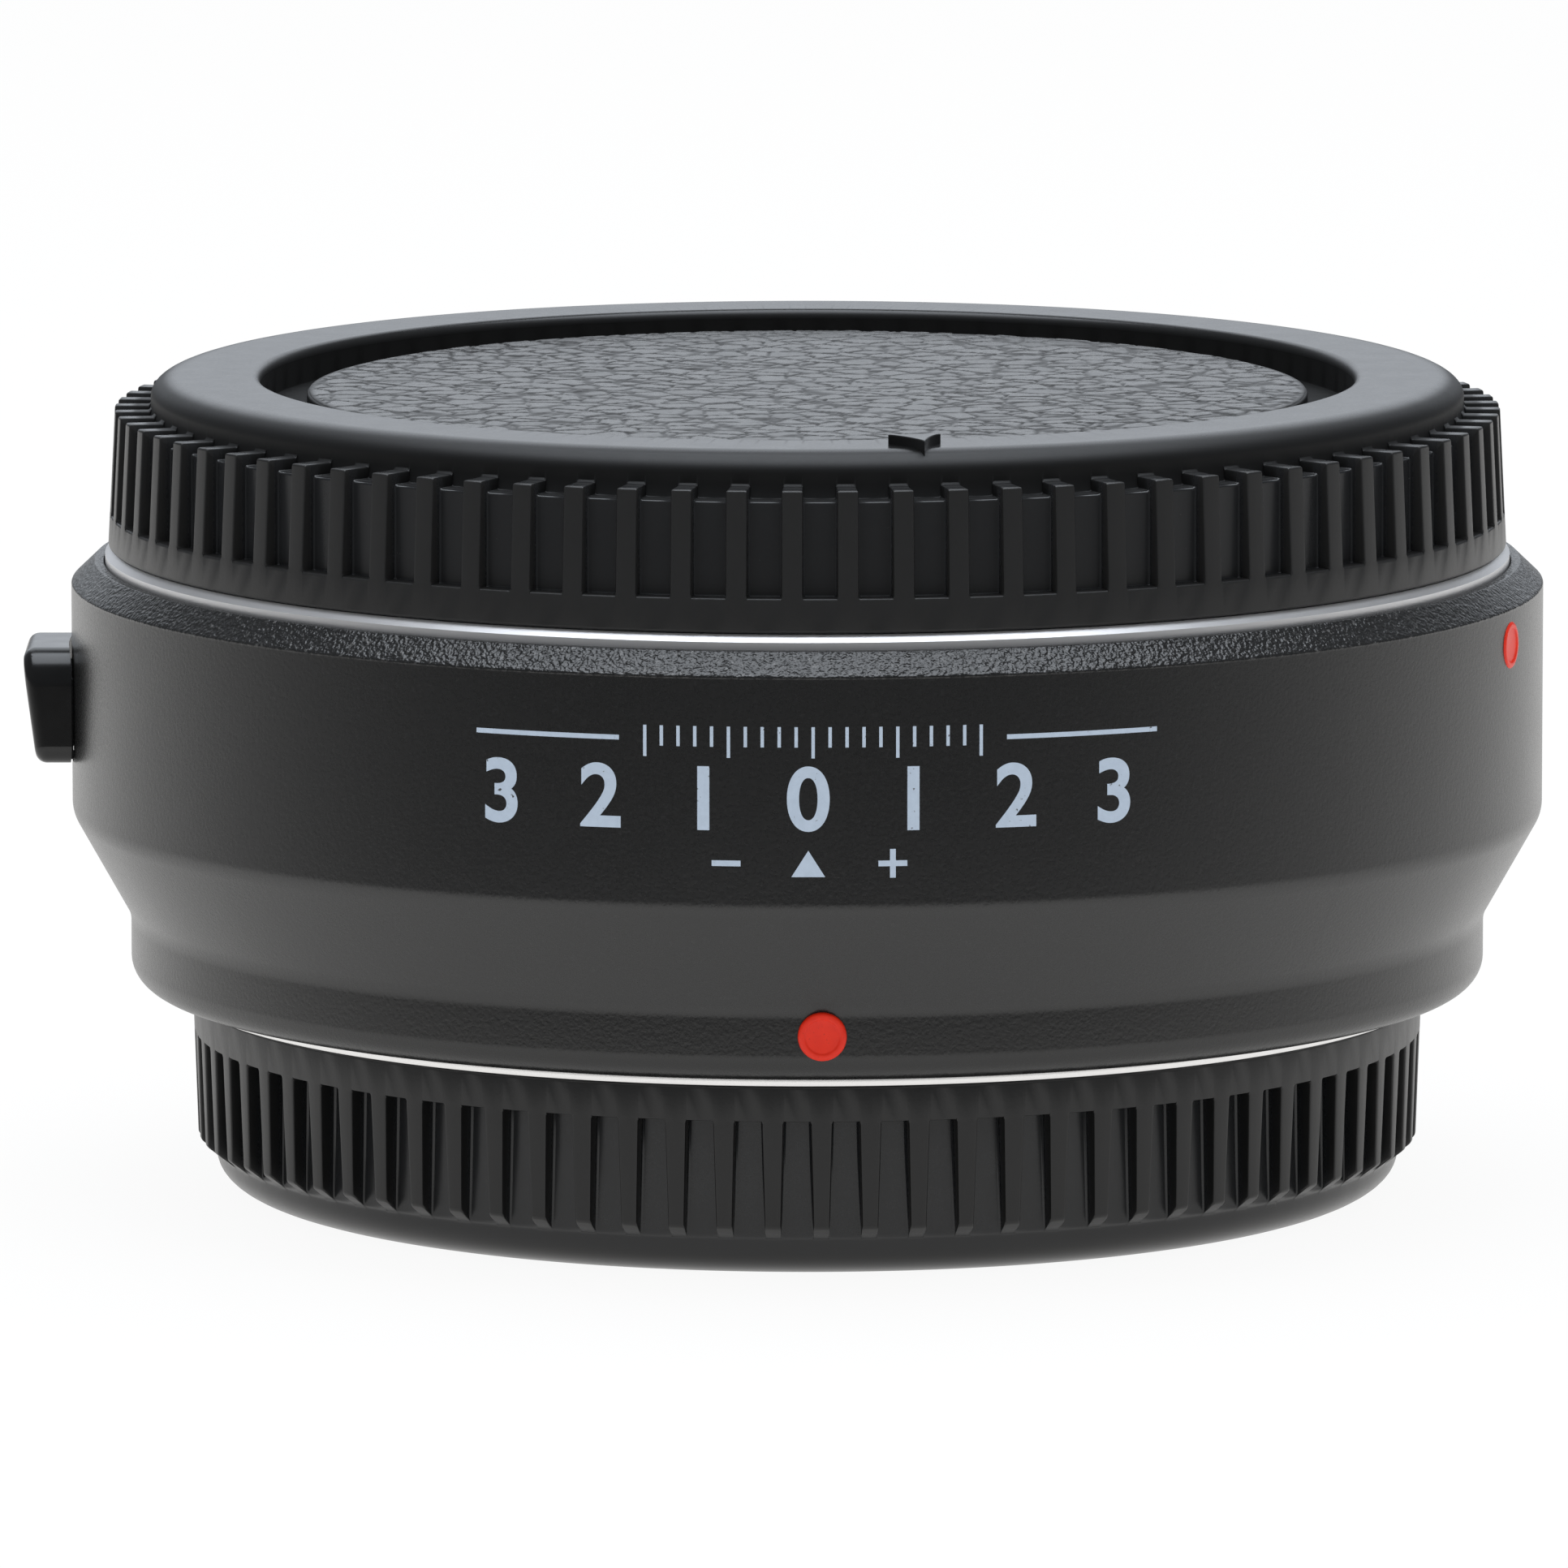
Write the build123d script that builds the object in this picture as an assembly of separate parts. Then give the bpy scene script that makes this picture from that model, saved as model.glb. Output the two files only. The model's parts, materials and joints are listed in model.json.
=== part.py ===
from build123d import *
from math import pi
import os

# A bayonet lens mount adapter standing on its rear cap, with its body cap on top.
# Millimetres and degrees. +Z runs along the optical axis towards the lens, and z = 0 is the
# surface that the rear cap stands on. Angles run anticlockwise from +X seen from the lens side.

# Directions of the features round the barrel
FRONT_ANGLE = -90.0
LEVER_ANGLE = 180.0
CONTACTS_ANGLE = 90.0
CAMERA_DOT_ANGLE = 1.15      # this and the next two are measured from the front
LENS_DOT_ANGLE = 70.6
CAP_MARK_ANGLE = 10.0

# The two mount faces
CAMERA_FACE_Z = 8.39
FACE_TO_FACE = 19.42

# Clearances
SEAT_FIT = 0.05              # between pieces that are seated in each other
RUN_FIT = 0.08               # round a piece that slides in a hole
SLIDE_GAP = 0.2              # round the release carriage and beside the lever
LUG_FIT = 0.15               # between bayonet lugs, along the axis
TURN_FIT = 0.2               # between a cap's bayonet and the mount ring, along the radius
CAP_FIT = 0.05               # between a cap's edge and the mount face

# Camera mount ring, from its bore outwards
LUG_COUNT = 3
CAMERA_BORE_R = 17.4
SPIGOT_WALL = 1.5
SPIGOT_H = 4.9
SPIGOT_LUG_REACH = 1.3
SPIGOT_LUG_DROP = 1.75
SPIGOT_LUG_T = 1.3
SPIGOT_LUG_ANGLE = 50.0
SPIGOT_LUG_FIRST_ANGLE = 30.0
CAMERA_FLANGE_W = 7.95       # from the spigot to the ring's edge
CAMERA_RING_T = 1.8
CAMERA_RING_SHOWS = 0.5
RING_CHAMFER = 0.3
LOCK_NOTCH_R = 1.3
LOCK_NOTCH_DEPTH = 1.1
LOCK_NOTCH_INSET = 3.7       # from the spigot
LOCK_NOTCH_ANGLE = 0.0

# Lens mount ring
LENS_LUG_REACH = 1.8
LENS_LUG_ANGLE = 52.0
LENS_LUG_FIRST_ANGLE = 30.0
LENS_RING_T = 1.6
LENS_RING_SHOWS = 0.61
LEAF_T = 0.2
LEAF_SHORT = 0.5             # how far the leaf spring's tongues stop behind the lugs
LEAF_ANGLE = 32.0

# Outer barrel
BARREL_WALL = 1.9
BARREL_LIP = 0.45            # flat edge round the lens ring
CHAMFER_H = 0.95
CHAMFER_W = 1.0
BARREL_FOOT_W = 2.3          # outside the camera ring
BARREL_FOOT_H = 3.1
BARREL_FOOT_ROUND = 1.2
BARREL_FLOOR = 1.7
CONE_H = 4.45
CONE_ROUND = 1.5
INNER_CONE_RISE = 0.6

# Screws
SCREW_R = 0.6
SCREW_HEAD_R = 1.15
SCREW_HEAD_H = 0.6
SCREW_SLOT_W = 0.3
SCREW_SLOT_DEPTH = 0.35
SCREW_SINK = 0.1
LENS_SCREW_COUNT = 5
LENS_SCREW_INSET = 2.4       # from the lens throat
LENS_SCREW_LENGTH = 3.2
CAMERA_SCREW_COUNT = 4
CAMERA_SCREW_INSET = 4.7     # from the spigot
CAMERA_SCREW_LENGTH = 5.0
CAMERA_SCREW_FIRST_ANGLE = 45.0
BOARD_SCREW_LENGTH = 2.4
BOARD_SCREW_ANGLE = 42.0
RELEASE_SCREW_SPREAD = 2.2
RELEASE_SCREW_LENGTH = 4.8

# Inner frame
THROAT_STEP = 0.8            # from the camera bore to the throat
THROAT_WALL = 1.5
FRAME_FOOT_T = 2.0
FRAME_FLANGE_T = 1.8
CUP_DEPTH = 2.8
CUP_WALL = 0.9
CUP_FLOOR = 1.2
BAFFLE_COUNT = 6
BAFFLE_DEPTH = 0.5
BAFFLE_MARGIN = 1.2

# Sprung contacts of the lens side
PIN_COUNT = 9
PIN_PITCH_ANGLE = 8.0
PIN_INSET = 1.85             # from the throat
PIN_R = 0.45
PIN_TRAVEL = 0.6
PIN_STANDS = 1.2
PIN_NOSE = 0.25
SLEEVE_WALL = 0.2
SLEEVE_FLOOR = 0.2
LENS_BLOCK_W = 2.3
LENS_BLOCK_H = 2.0
LENS_BLOCK_ANGLE = 80.0
BLOCK_TAIL_W = 1.0
BLOCK_TAIL_ANGLE = 16.0

# Contact strip of the camera side
PAD_COUNT = 11
PAD_PITCH_ANGLE = 7.0
PAD_LENGTH = 1.1
PAD_WIDTH = 1.0
PAD_T = 0.15
PAD_SINK = 0.05
CAMERA_BLOCK_W = 1.5
CAMERA_BLOCK_ANGLE = 84.0
CAMERA_BLOCK_LIP = 1.0
CAMERA_BLOCK_LIP_W = 0.7

# Circuit board and its flat cables
BOARD_W = 6.2
BOARD_T = 1.0
BOARD_ANGLE = 100.0
BOARD_GAP = 0.5
CHIP_SIZE = 4.5
CHIP_T = 0.9
CHIP_ANGLE = 22.0
FLEX_T = 0.2
LENS_FLEX_ANGLE = 12.0
CAMERA_FLEX_ANGLE = 10.0
CAMERA_FLEX_TURN_ANGLE = -18.0
CAMERA_FLEX_LAP = 1.4
WINDOW_SPARE_ANGLE = 1.0

# Red index dots
DOT_R = 1.02
DOT_STANDS = 0.28
DOT_DEPTH = 0.6
DOT_ROUND = 0.15
DOT_RIM_W = 0.26
DOT_DISH = 0.06
CAMERA_DOT_DROP = 1.1        # below the foot of the cone
LENS_DOT_DROP = 2.45         # below the barrel's top edge

# Lens release
RELEASE_TRAVEL = 1.2
LEVER_W = 7.6
LEVER_H = 4.9
LEVER_TOP_DROP = 3.65        # below the barrel's top edge
LEVER_STANDS = 2.07
LEVER_TAPER = 0.65
LEVER_TOP_ROUND = 1.5
LEVER_LOW_ROUND = 0.8
LEVER_EDGE_ROUND = 0.5
LEVER_GAP = 0.12
NECK_W = 6.4
NECK_H = 1.9
NECK_DROP = 1.68             # below the lever's top
CARRIAGE_T = 3.35
CARRIAGE_W = 7.6
CARRIAGE_H = 3.5
CARRIAGE_RISE = 0.4          # above the neck
LOCK_PIN_R = 0.7
LOCK_PIN_INSET = 1.0         # from the carriage's inner face
LOCK_PIN_STANDS = 1.0
LOCK_PIN_NOSE = 0.3
LOCK_STEM_R = 0.55
LOCK_STEM_H = 2.0
SPRING_WIRE_R = 0.1
SPRING_FLAT_COUNT = 6
SPRING_R = 0.95
SPRING_TURN_COUNT = 5
SPRING_H = 3.0
SHELF_T = 1.2
SHELF_W = 3.2
SHELF_GAP = 0.25

# Body cap over the lens side
BODY_CAP_INSET = 0.15        # inside the lens ring's edge
BODY_CAP_DRAFT = 0.3
BODY_CAP_RIB_H = 5.9
CAP_NECK_H = 1.46            # above the ribs
BODY_CAP_BAND = 1.45
BODY_CAP_LEDGE_DROP = 0.52
BODY_CAP_GROOVE_DEPTH = 0.8
BODY_CAP_SKIRT_WALL = 1.1
BODY_CAP_SHOULDER = 1.85     # from the cap's edge in to its neck
CAP_NECK_STEP = 0.1
RIM_W = 4.7
RIM_ROUND = 1.1
RIM_INNER_ROUND = 0.4
MOAT_W = 2.0                 # between the rim and the disc
MOAT_DEPTH = 0.8             # below the disc
DISC_DROP = 0.8              # below the rim
DISC_ROUND = 0.15
CAP_WALL = 1.4
CAP_TUBE_GAP = 0.4           # round the contact block
CAP_TUBE_WALL = 1.5
CAP_LUG_T = 1.25
CAP_LUG_ANGLE = 44.0
MARK_W = 2.25
MARK_LENGTH = 2.35
MARK_INSET = 0.45            # of its tip from the neck
MARK_HOLLOW = 0.12           # of its curved sides
MARK_STANDS = 0.35
MARK_DEPTH = 0.7

# Rear cap over the camera side
REAR_CAP_INSET = 0.35        # inside the camera ring's edge
REAR_CAP_DRAFT = 0.2
REAR_CAP_BAND = 1.5
REAR_CAP_RIB_LOW_Z = 2.3
REAR_CAP_STEP_Z = 1.7
REAR_CAP_TUCK = 1.0          # from the cap's edge in to its foot
REAR_CAP_ROUND = 1.68
REAR_CAP_GROOVE_DEPTH = 0.85
REAR_CAP_FLOOR = 1.6
REAR_CAP_FOOT_W = 3.1
REAR_CAP_RECESS_H = 0.4
REAR_CAP_SKIRT_WALL = 1.4
REAR_CAP_RING_WALL = 1.3
REAR_CAP_RING_GAP = 0.4      # round the spigot's lugs
REAR_CAP_RING_DROP = 0.15
REAR_CAP_LUG_ANGLE = 46.0

# Grip ribs of both caps
RIB_COUNT = 81
RIB_W = 0.89
REAR_RIB_TOP_W = 0.91
REAR_RIB_LOW_W = 0.65
BODY_RIB_ANGLE = -1.28       # this and the next are measured from the front
REAR_RIB_ANGLE = 1.24
CUT_OVER = 1.0               # how far a cutter reaches past the face it opens
CUT_SKIM = 0.25              # the same, where another face is near

# Radii that follow from the sizes above, from the camera bore outwards
spigot_r = CAMERA_BORE_R + SPIGOT_WALL
spigot_lug_r = spigot_r + SPIGOT_LUG_REACH
lock_notch_circle_r = spigot_r + LOCK_NOTCH_INSET
camera_screw_circle_r = spigot_r + CAMERA_SCREW_INSET
camera_ring_r = spigot_r + CAMERA_FLANGE_W
barrel_foot_r = camera_ring_r + BARREL_FOOT_W
foot_bore_r = barrel_foot_r - BARREL_WALL
camera_block_r = CAMERA_BORE_R - SEAT_FIT
throat_r = CAMERA_BORE_R + THROAT_STEP
throat_outer_r = throat_r + THROAT_WALL
board_in_r = throat_outer_r + BOARD_GAP
pin_circle_r = throat_r + PIN_INSET
sleeve_r = PIN_R + RUN_FIT + SLEEVE_WALL
lens_block_in_r = pin_circle_r - LENS_BLOCK_W / 2
cap_tube_in_r = pin_circle_r + LENS_BLOCK_W / 2 + CAP_TUBE_GAP
cap_tube_r = cap_tube_in_r + CAP_TUBE_WALL
lens_lug_r = cap_tube_r + TURN_FIT
leaf_reach_r = lens_lug_r + LEAF_SHORT
lens_throat_r = lens_lug_r + LENS_LUG_REACH
lens_screw_circle_r = lens_throat_r + LENS_SCREW_INSET
cup_outer_r = lens_throat_r + CUP_WALL
carriage_in_r = cup_outer_r + SLIDE_GAP
lock_pin_circle_r = carriage_in_r + LOCK_PIN_INSET
carriage_out_r = carriage_in_r + CARRIAGE_T
bore_r = carriage_out_r + SLIDE_GAP
frame_flange_r = bore_r - SEAT_FIT
barrel_r = bore_r + BARREL_WALL
lens_ring_r = barrel_r - CHAMFER_W - BARREL_LIP
body_cap_r = lens_ring_r - BODY_CAP_INSET
cap_neck_r = body_cap_r - BODY_CAP_SHOULDER
rim_inner_r = cap_neck_r - RIM_W
disc_r = rim_inner_r - MOAT_W
mark_tip_r = cap_neck_r - MARK_INSET
mark_inner_r = mark_tip_r - MARK_LENGTH
rear_cap_r = camera_ring_r - REAR_CAP_INSET
rear_groove_r = rear_cap_r - REAR_CAP_GROOVE_DEPTH
rear_cap_low_r = rear_cap_r - REAR_CAP_TUCK
rear_recess_r = rear_cap_low_r - REAR_CAP_FOOT_W

# Levels that follow from the sizes above
lens_face_z = CAMERA_FACE_Z + FACE_TO_FACE
barrel_low = CAMERA_FACE_Z + CAMERA_RING_SHOWS
barrel_top = lens_face_z - LENS_RING_SHOWS
cone_low = barrel_low + BARREL_FOOT_H
cone_high = cone_low + CONE_H
camera_ring_top = CAMERA_FACE_Z + CAMERA_RING_T
floor_top = camera_ring_top + BARREL_FLOOR
lens_ring_low = lens_face_z - LENS_RING_T
frame_top = lens_ring_low - LEAF_T
foot_top = floor_top + FRAME_FOOT_T
cup_floor_top = frame_top - CUP_DEPTH
cup_floor_low = cup_floor_top - CUP_FLOOR
spigot_low = CAMERA_FACE_Z - SPIGOT_H
board_top = foot_top + BOARD_T
lens_block_top = cup_floor_top + LENS_BLOCK_H
camera_block_top = camera_ring_top + CAMERA_BLOCK_LIP
lever_top = barrel_top - LEVER_TOP_DROP
lever_low = lever_top - LEVER_H
neck_top = lever_top - NECK_DROP
neck_low = neck_top - NECK_H
carriage_top = neck_top + CARRIAGE_RISE
carriage_low = carriage_top - CARRIAGE_H
shelf_top = carriage_low - SPRING_H


def turned(outline, rounds=()):
    """Solid of revolution of an (r, z) outline; rounds holds (corner, radius) pairs."""
    section = make_face(Polyline(*outline, close=True))
    for corner, radius in rounds:
        section = fillet(section.vertices().sort_by_distance(corner)[0], radius)
    return revolve(Plane.XZ * section, Axis.Z)


def sector(r_in, r_out, z_low, z_high, middle, width):
    """Piece of a ring between two radii and two levels, centred on an angle."""
    section = Pos((r_in + r_out) / 2, (z_low + z_high) / 2) * Rectangle(r_out - r_in, z_high - z_low)
    return Rot(0, 0, middle - width / 2) * revolve(Plane.XZ * section, Axis.Z, width)


def at(angle, radius=0.0, z=0.0):
    """Place on the barrel: turned to an angle, then out along the radius."""
    return Rot(0, 0, angle) * Pos(radius, 0, z)


def around(count, first):
    """Evenly spaced angles, starting from the first."""
    return [first + 360 / count * k for k in range(count)]


def fan(count, pitch, middle):
    """Angles at a pitch, centred on the middle one."""
    return [middle + pitch * (k - (count - 1) / 2) for k in range(count)]


def post(radius, z_low, z_high):
    """Plain round bar on the Z axis."""
    return Pos(0, 0, z_low) * Cylinder(radius, z_high - z_low, align=(Align.CENTER, Align.CENTER, Align.MIN))


def screw(length):
    """Countersunk cross-slot screw pointing down, with its head's flat face at z = 0."""
    body = turned([(0, 0), (SCREW_HEAD_R, 0), (SCREW_R, -SCREW_HEAD_H), (SCREW_R, -length), (0, -length)])
    slot = Pos(0, 0, -SCREW_SLOT_DEPTH / 2) * Box(SCREW_HEAD_R, SCREW_SLOT_W, SCREW_SLOT_DEPTH)
    return body - slot - Rot(0, 0, 90) * slot


def screw_hole(length):
    """Hole for a screw, with its countersink and the clearance round both."""
    head_r = SCREW_HEAD_R + SEAT_FIT
    shank_r = SCREW_R + SEAT_FIT
    return turned([(0, CUT_OVER), (head_r, CUT_OVER), (head_r, 0), (shank_r, -SCREW_HEAD_H),
                   (shank_r, -length - SEAT_FIT), (0, -length - SEAT_FIT)])


def lens_screw_places():
    z = lens_face_z - SCREW_SINK
    return [at(a, lens_screw_circle_r, z) for a in around(LENS_SCREW_COUNT, 0.0)]


def camera_screw_places():
    z = CAMERA_FACE_Z + SCREW_SINK
    return [at(a, camera_screw_circle_r, z) * Rot(180, 0, 0)
            for a in around(CAMERA_SCREW_COUNT, CAMERA_SCREW_FIRST_ANGLE)]


def board_screw_places():
    radius = board_in_r + BOARD_W / 2
    return [at(CONTACTS_ANGLE + side * BOARD_SCREW_ANGLE, radius, board_top) for side in (-1, 1)]


def release_screw_places():
    z = (neck_low + neck_top) / 2
    return [at(LEVER_ANGLE) * Pos(carriage_in_r + SCREW_SINK, side * RELEASE_SCREW_SPREAD, z) * Rot(0, -90, 0)
            for side in (-1, 1)]


def dot_places():
    """Camera dot and lens dot: the barrel radius, angle and level of each."""
    return {"camera_index_dot": (barrel_foot_r, FRONT_ANGLE + CAMERA_DOT_ANGLE, cone_low - CAMERA_DOT_DROP),
            "lens_index_dot": (barrel_r, FRONT_ANGLE + LENS_DOT_ANGLE, barrel_top - LENS_DOT_DROP)}


def radial_post(radius, r_in, r_out, angle, z):
    """Round bar that points out along a radius of the barrel."""
    return at(angle, 0, z) * Rot(0, 90, 0) * post(radius, r_in, r_out)


def outer_barrel():
    ring_r = lens_ring_r + SEAT_FIT
    socket_r = camera_ring_r + SEAT_FIT
    shell = turned(
        [(socket_r, barrel_low), (barrel_foot_r, barrel_low), (barrel_foot_r, cone_low),
         (barrel_r, cone_high), (barrel_r, barrel_top - CHAMFER_H),
         (barrel_r - CHAMFER_W, barrel_top), (ring_r, barrel_top),
         (ring_r, lens_ring_low), (bore_r, lens_ring_low), (bore_r, cone_high + INNER_CONE_RISE),
         (foot_bore_r, cone_low + INNER_CONE_RISE), (foot_bore_r, floor_top), (throat_r, floor_top),
         (throat_r, camera_ring_top), (socket_r, camera_ring_top)],
        [((barrel_foot_r, barrel_low), BARREL_FOOT_ROUND), ((barrel_foot_r, cone_low), CONE_ROUND),
         ((barrel_r, cone_high), CONE_ROUND)])
    slot_h = NECK_H + RELEASE_TRAVEL + 2 * RUN_FIT
    slot = at(LEVER_ANGLE, barrel_r - BARREL_WALL / 2, neck_top + RUN_FIT - slot_h / 2)
    shell -= slot * Box(BARREL_WALL + 2 * CUT_OVER, NECK_W + 2 * RUN_FIT, slot_h)
    shell -= [place * screw_hole(CAMERA_SCREW_LENGTH) for place in camera_screw_places()]
    shell -= [radial_post(DOT_R + SEAT_FIT, r - DOT_DEPTH, r + CUT_OVER, a, z)
              for r, a, z in dot_places().values()]
    return shell


def inner_frame():
    foot_r = foot_bore_r - SEAT_FIT
    flange_low = frame_top - FRAME_FLANGE_T
    ridge_high = cup_floor_low - BAFFLE_MARGIN
    ridge_step = (ridge_high - foot_top - BAFFLE_MARGIN) / BAFFLE_COUNT / 2
    ridges = [(throat_r + BAFFLE_DEPTH * (k % 2), ridge_high - k * ridge_step)
              for k in range(2 * BAFFLE_COUNT + 1)]
    frame = turned(
        [(throat_r, floor_top), (foot_r, floor_top), (foot_r, foot_top), (throat_outer_r, foot_top),
         (throat_outer_r, cup_floor_low), (cup_outer_r, cup_floor_low), (cup_outer_r, flange_low),
         (frame_flange_r, flange_low), (frame_flange_r, frame_top), (lens_throat_r, frame_top),
         (lens_throat_r, cup_floor_top), (throat_r, cup_floor_top)] + ridges)
    frame += spring_shelf()
    frame -= at(LEVER_ANGLE, lock_pin_circle_r) * post(LOCK_PIN_R + RUN_FIT, flange_low, frame_top)
    frame -= [place * screw_hole(LENS_SCREW_LENGTH) for place in lens_screw_places()]
    frame -= [place * screw_hole(CAMERA_SCREW_LENGTH) for place in camera_screw_places()]
    frame -= [place * screw_hole(BOARD_SCREW_LENGTH) for place in board_screw_places()]
    frame -= block_tail(SEAT_FIT)
    return frame - cable_window()


def spring_shelf():
    """Moulded bracket off the throat tube that the release spring stands on."""
    reach = lock_pin_circle_r + LOCK_STEM_R + SHELF_GAP + SPRING_WIRE_R
    inner = throat_outer_r - THROAT_WALL / 2
    bar = Pos((inner + reach) / 2, 0, shelf_top - SHELF_T / 2) * Box(reach - inner, SHELF_W, SHELF_T)
    hole = Pos(lock_pin_circle_r) * post(LOCK_STEM_R + RUN_FIT, shelf_top - SHELF_T, shelf_top)
    return at(LEVER_ANGLE) * (bar - hole)


def cable_window():
    """Slot through the throat tube for the camera side's flat cable."""
    return sector(throat_r - CUT_OVER, throat_outer_r + CUT_OVER, board_top - SEAT_FIT,
                  board_top + FLEX_T + SEAT_FIT, CONTACTS_ANGLE + CAMERA_FLEX_TURN_ANGLE,
                  CAMERA_FLEX_ANGLE + WINDOW_SPARE_ANGLE)


def lens_mount_ring():
    ring = turned([(lens_throat_r, lens_ring_low), (lens_ring_r, lens_ring_low),
                   (lens_ring_r, lens_face_z - RING_CHAMFER), (lens_ring_r - RING_CHAMFER, lens_face_z),
                   (lens_throat_r, lens_face_z)])
    for angle in around(LUG_COUNT, LENS_LUG_FIRST_ANGLE):
        ring += sector(lens_lug_r, lens_throat_r + CUT_OVER, lens_ring_low, lens_face_z, angle,
                       LENS_LUG_ANGLE)
    ring -= at(LEVER_ANGLE, lock_pin_circle_r) * post(LOCK_PIN_R + RUN_FIT, lens_ring_low, lens_face_z)
    return ring - [place * screw_hole(LENS_SCREW_LENGTH) for place in lens_screw_places()]


def mount_leaf_spring():
    """Flat steel ring with tongues under the lens ring's lugs."""
    outer_r = frame_flange_r - SEAT_FIT
    leaf = turned([(lens_throat_r, frame_top), (outer_r, frame_top), (outer_r, lens_ring_low),
                   (lens_throat_r, lens_ring_low)])
    for angle in around(LUG_COUNT, LENS_LUG_FIRST_ANGLE):
        leaf += sector(leaf_reach_r, lens_throat_r + CUT_OVER, frame_top, lens_ring_low, angle,
                       LEAF_ANGLE)
    leaf -= at(LEVER_ANGLE, lock_pin_circle_r) * post(LOCK_PIN_R + SLIDE_GAP, frame_top, lens_ring_low)
    return leaf - [place * screw_hole(LENS_SCREW_LENGTH) for place in lens_screw_places()]


def camera_mount_ring():
    ring = turned([(CAMERA_BORE_R, spigot_low), (spigot_r - RING_CHAMFER, spigot_low),
                   (spigot_r, spigot_low + RING_CHAMFER), (spigot_r, CAMERA_FACE_Z),
                   (camera_ring_r - RING_CHAMFER, CAMERA_FACE_Z),
                   (camera_ring_r, CAMERA_FACE_Z + RING_CHAMFER), (camera_ring_r, camera_ring_top),
                   (CAMERA_BORE_R, camera_ring_top)])
    lug_top = CAMERA_FACE_Z - SPIGOT_LUG_DROP
    for angle in around(LUG_COUNT, SPIGOT_LUG_FIRST_ANGLE):
        ring += sector((CAMERA_BORE_R + spigot_r) / 2, spigot_lug_r, lug_top - SPIGOT_LUG_T, lug_top, angle,
                       SPIGOT_LUG_ANGLE)
    ring -= at(LOCK_NOTCH_ANGLE, lock_notch_circle_r) * post(
        LOCK_NOTCH_R, CAMERA_FACE_Z, CAMERA_FACE_Z + LOCK_NOTCH_DEPTH)
    return ring - [place * screw_hole(CAMERA_SCREW_LENGTH) for place in camera_screw_places()]


def block_tail(gap=0.0):
    """Tail of the lens contact block, down through the cup's floor; gap widens it all round."""
    inner = throat_outer_r + SLIDE_GAP
    return sector(inner - gap, inner + BLOCK_TAIL_W + gap, cup_floor_low, cup_floor_top, CONTACTS_ANGLE,
                  BLOCK_TAIL_ANGLE + 2 * degrees_for(gap, inner))


def degrees_for(length, radius):
    """Angle that a short length takes up at a radius."""
    return length / radius * 180 / pi


def pin_places():
    return [at(a, pin_circle_r) for a in fan(PIN_COUNT, PIN_PITCH_ANGLE, CONTACTS_ANGLE)]


def lens_contact_block():
    block = sector(lens_block_in_r, lens_block_in_r + LENS_BLOCK_W, cup_floor_top, lens_block_top,
                   CONTACTS_ANGLE, LENS_BLOCK_ANGLE)
    block += block_tail()
    sleeve_low = cup_floor_top + SLEEVE_FLOOR
    return block - [place * post(sleeve_r, sleeve_low, lens_block_top) for place in pin_places()]


def contact_sleeve():
    low = cup_floor_top + SLEEVE_FLOOR
    return post(sleeve_r, low, lens_block_top) - post(PIN_R + RUN_FIT, low + SLEEVE_FLOOR, lens_block_top)


def contact_pin():
    """Plunger with a bevelled nose and room under it for its travel."""
    low = cup_floor_top + 2 * SLEEVE_FLOOR + PIN_TRAVEL + SEAT_FIT
    top = lens_block_top + PIN_STANDS
    return turned([(0, low), (PIN_R, low), (PIN_R, top - PIN_NOSE), (PIN_R - PIN_NOSE, top), (0, top)])


def camera_contact_block():
    low = spigot_low + PAD_SINK + PAD_T
    inner = camera_block_r - CAMERA_BLOCK_W
    block = sector(inner, camera_block_r, low, camera_block_top, CONTACTS_ANGLE, CAMERA_BLOCK_ANGLE)
    return block + sector(inner, CAMERA_BORE_R + CAMERA_BLOCK_LIP_W, camera_ring_top, camera_block_top,
                          CONTACTS_ANGLE, CAMERA_BLOCK_ANGLE)


def camera_contact_pads():
    radius = camera_block_r - CAMERA_BLOCK_W / 2
    pad = Pos(0, 0, spigot_low + PAD_SINK + PAD_T / 2) * Box(PAD_LENGTH, PAD_WIDTH, PAD_T)
    return [at(a, radius) * pad for a in fan(PAD_COUNT, PAD_PITCH_ANGLE, CONTACTS_ANGLE)]


def circuit_board():
    board = sector(board_in_r, board_in_r + BOARD_W, foot_top, board_top, CONTACTS_ANGLE, BOARD_ANGLE)
    return board - [place * screw_hole(BOARD_SCREW_LENGTH) for place in board_screw_places()]


def controller_chip():
    chip = Pos(0, 0, board_top + CHIP_T / 2) * Box(CHIP_SIZE, CHIP_SIZE, CHIP_T)
    return at(CONTACTS_ANGLE + CHIP_ANGLE, board_in_r + BOARD_W / 2) * chip


def lens_flex():
    inner = throat_outer_r + SLIDE_GAP + BLOCK_TAIL_W - FLEX_T
    return sector(inner, inner + FLEX_T, board_top, cup_floor_low, CONTACTS_ANGLE, LENS_FLEX_ANGLE)


def camera_flex():
    """Cable up the throat wall from the camera contacts, out through the window onto the board."""
    outer = throat_r - SEAT_FIT
    middle = CONTACTS_ANGLE + CAMERA_FLEX_TURN_ANGLE
    rise = sector(outer - FLEX_T, outer, camera_block_top, board_top + FLEX_T, middle, CAMERA_FLEX_ANGLE)
    return rise + sector(outer - FLEX_T, board_in_r + CAMERA_FLEX_LAP, board_top, board_top + FLEX_T, middle,
                         CAMERA_FLEX_ANGLE)


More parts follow.
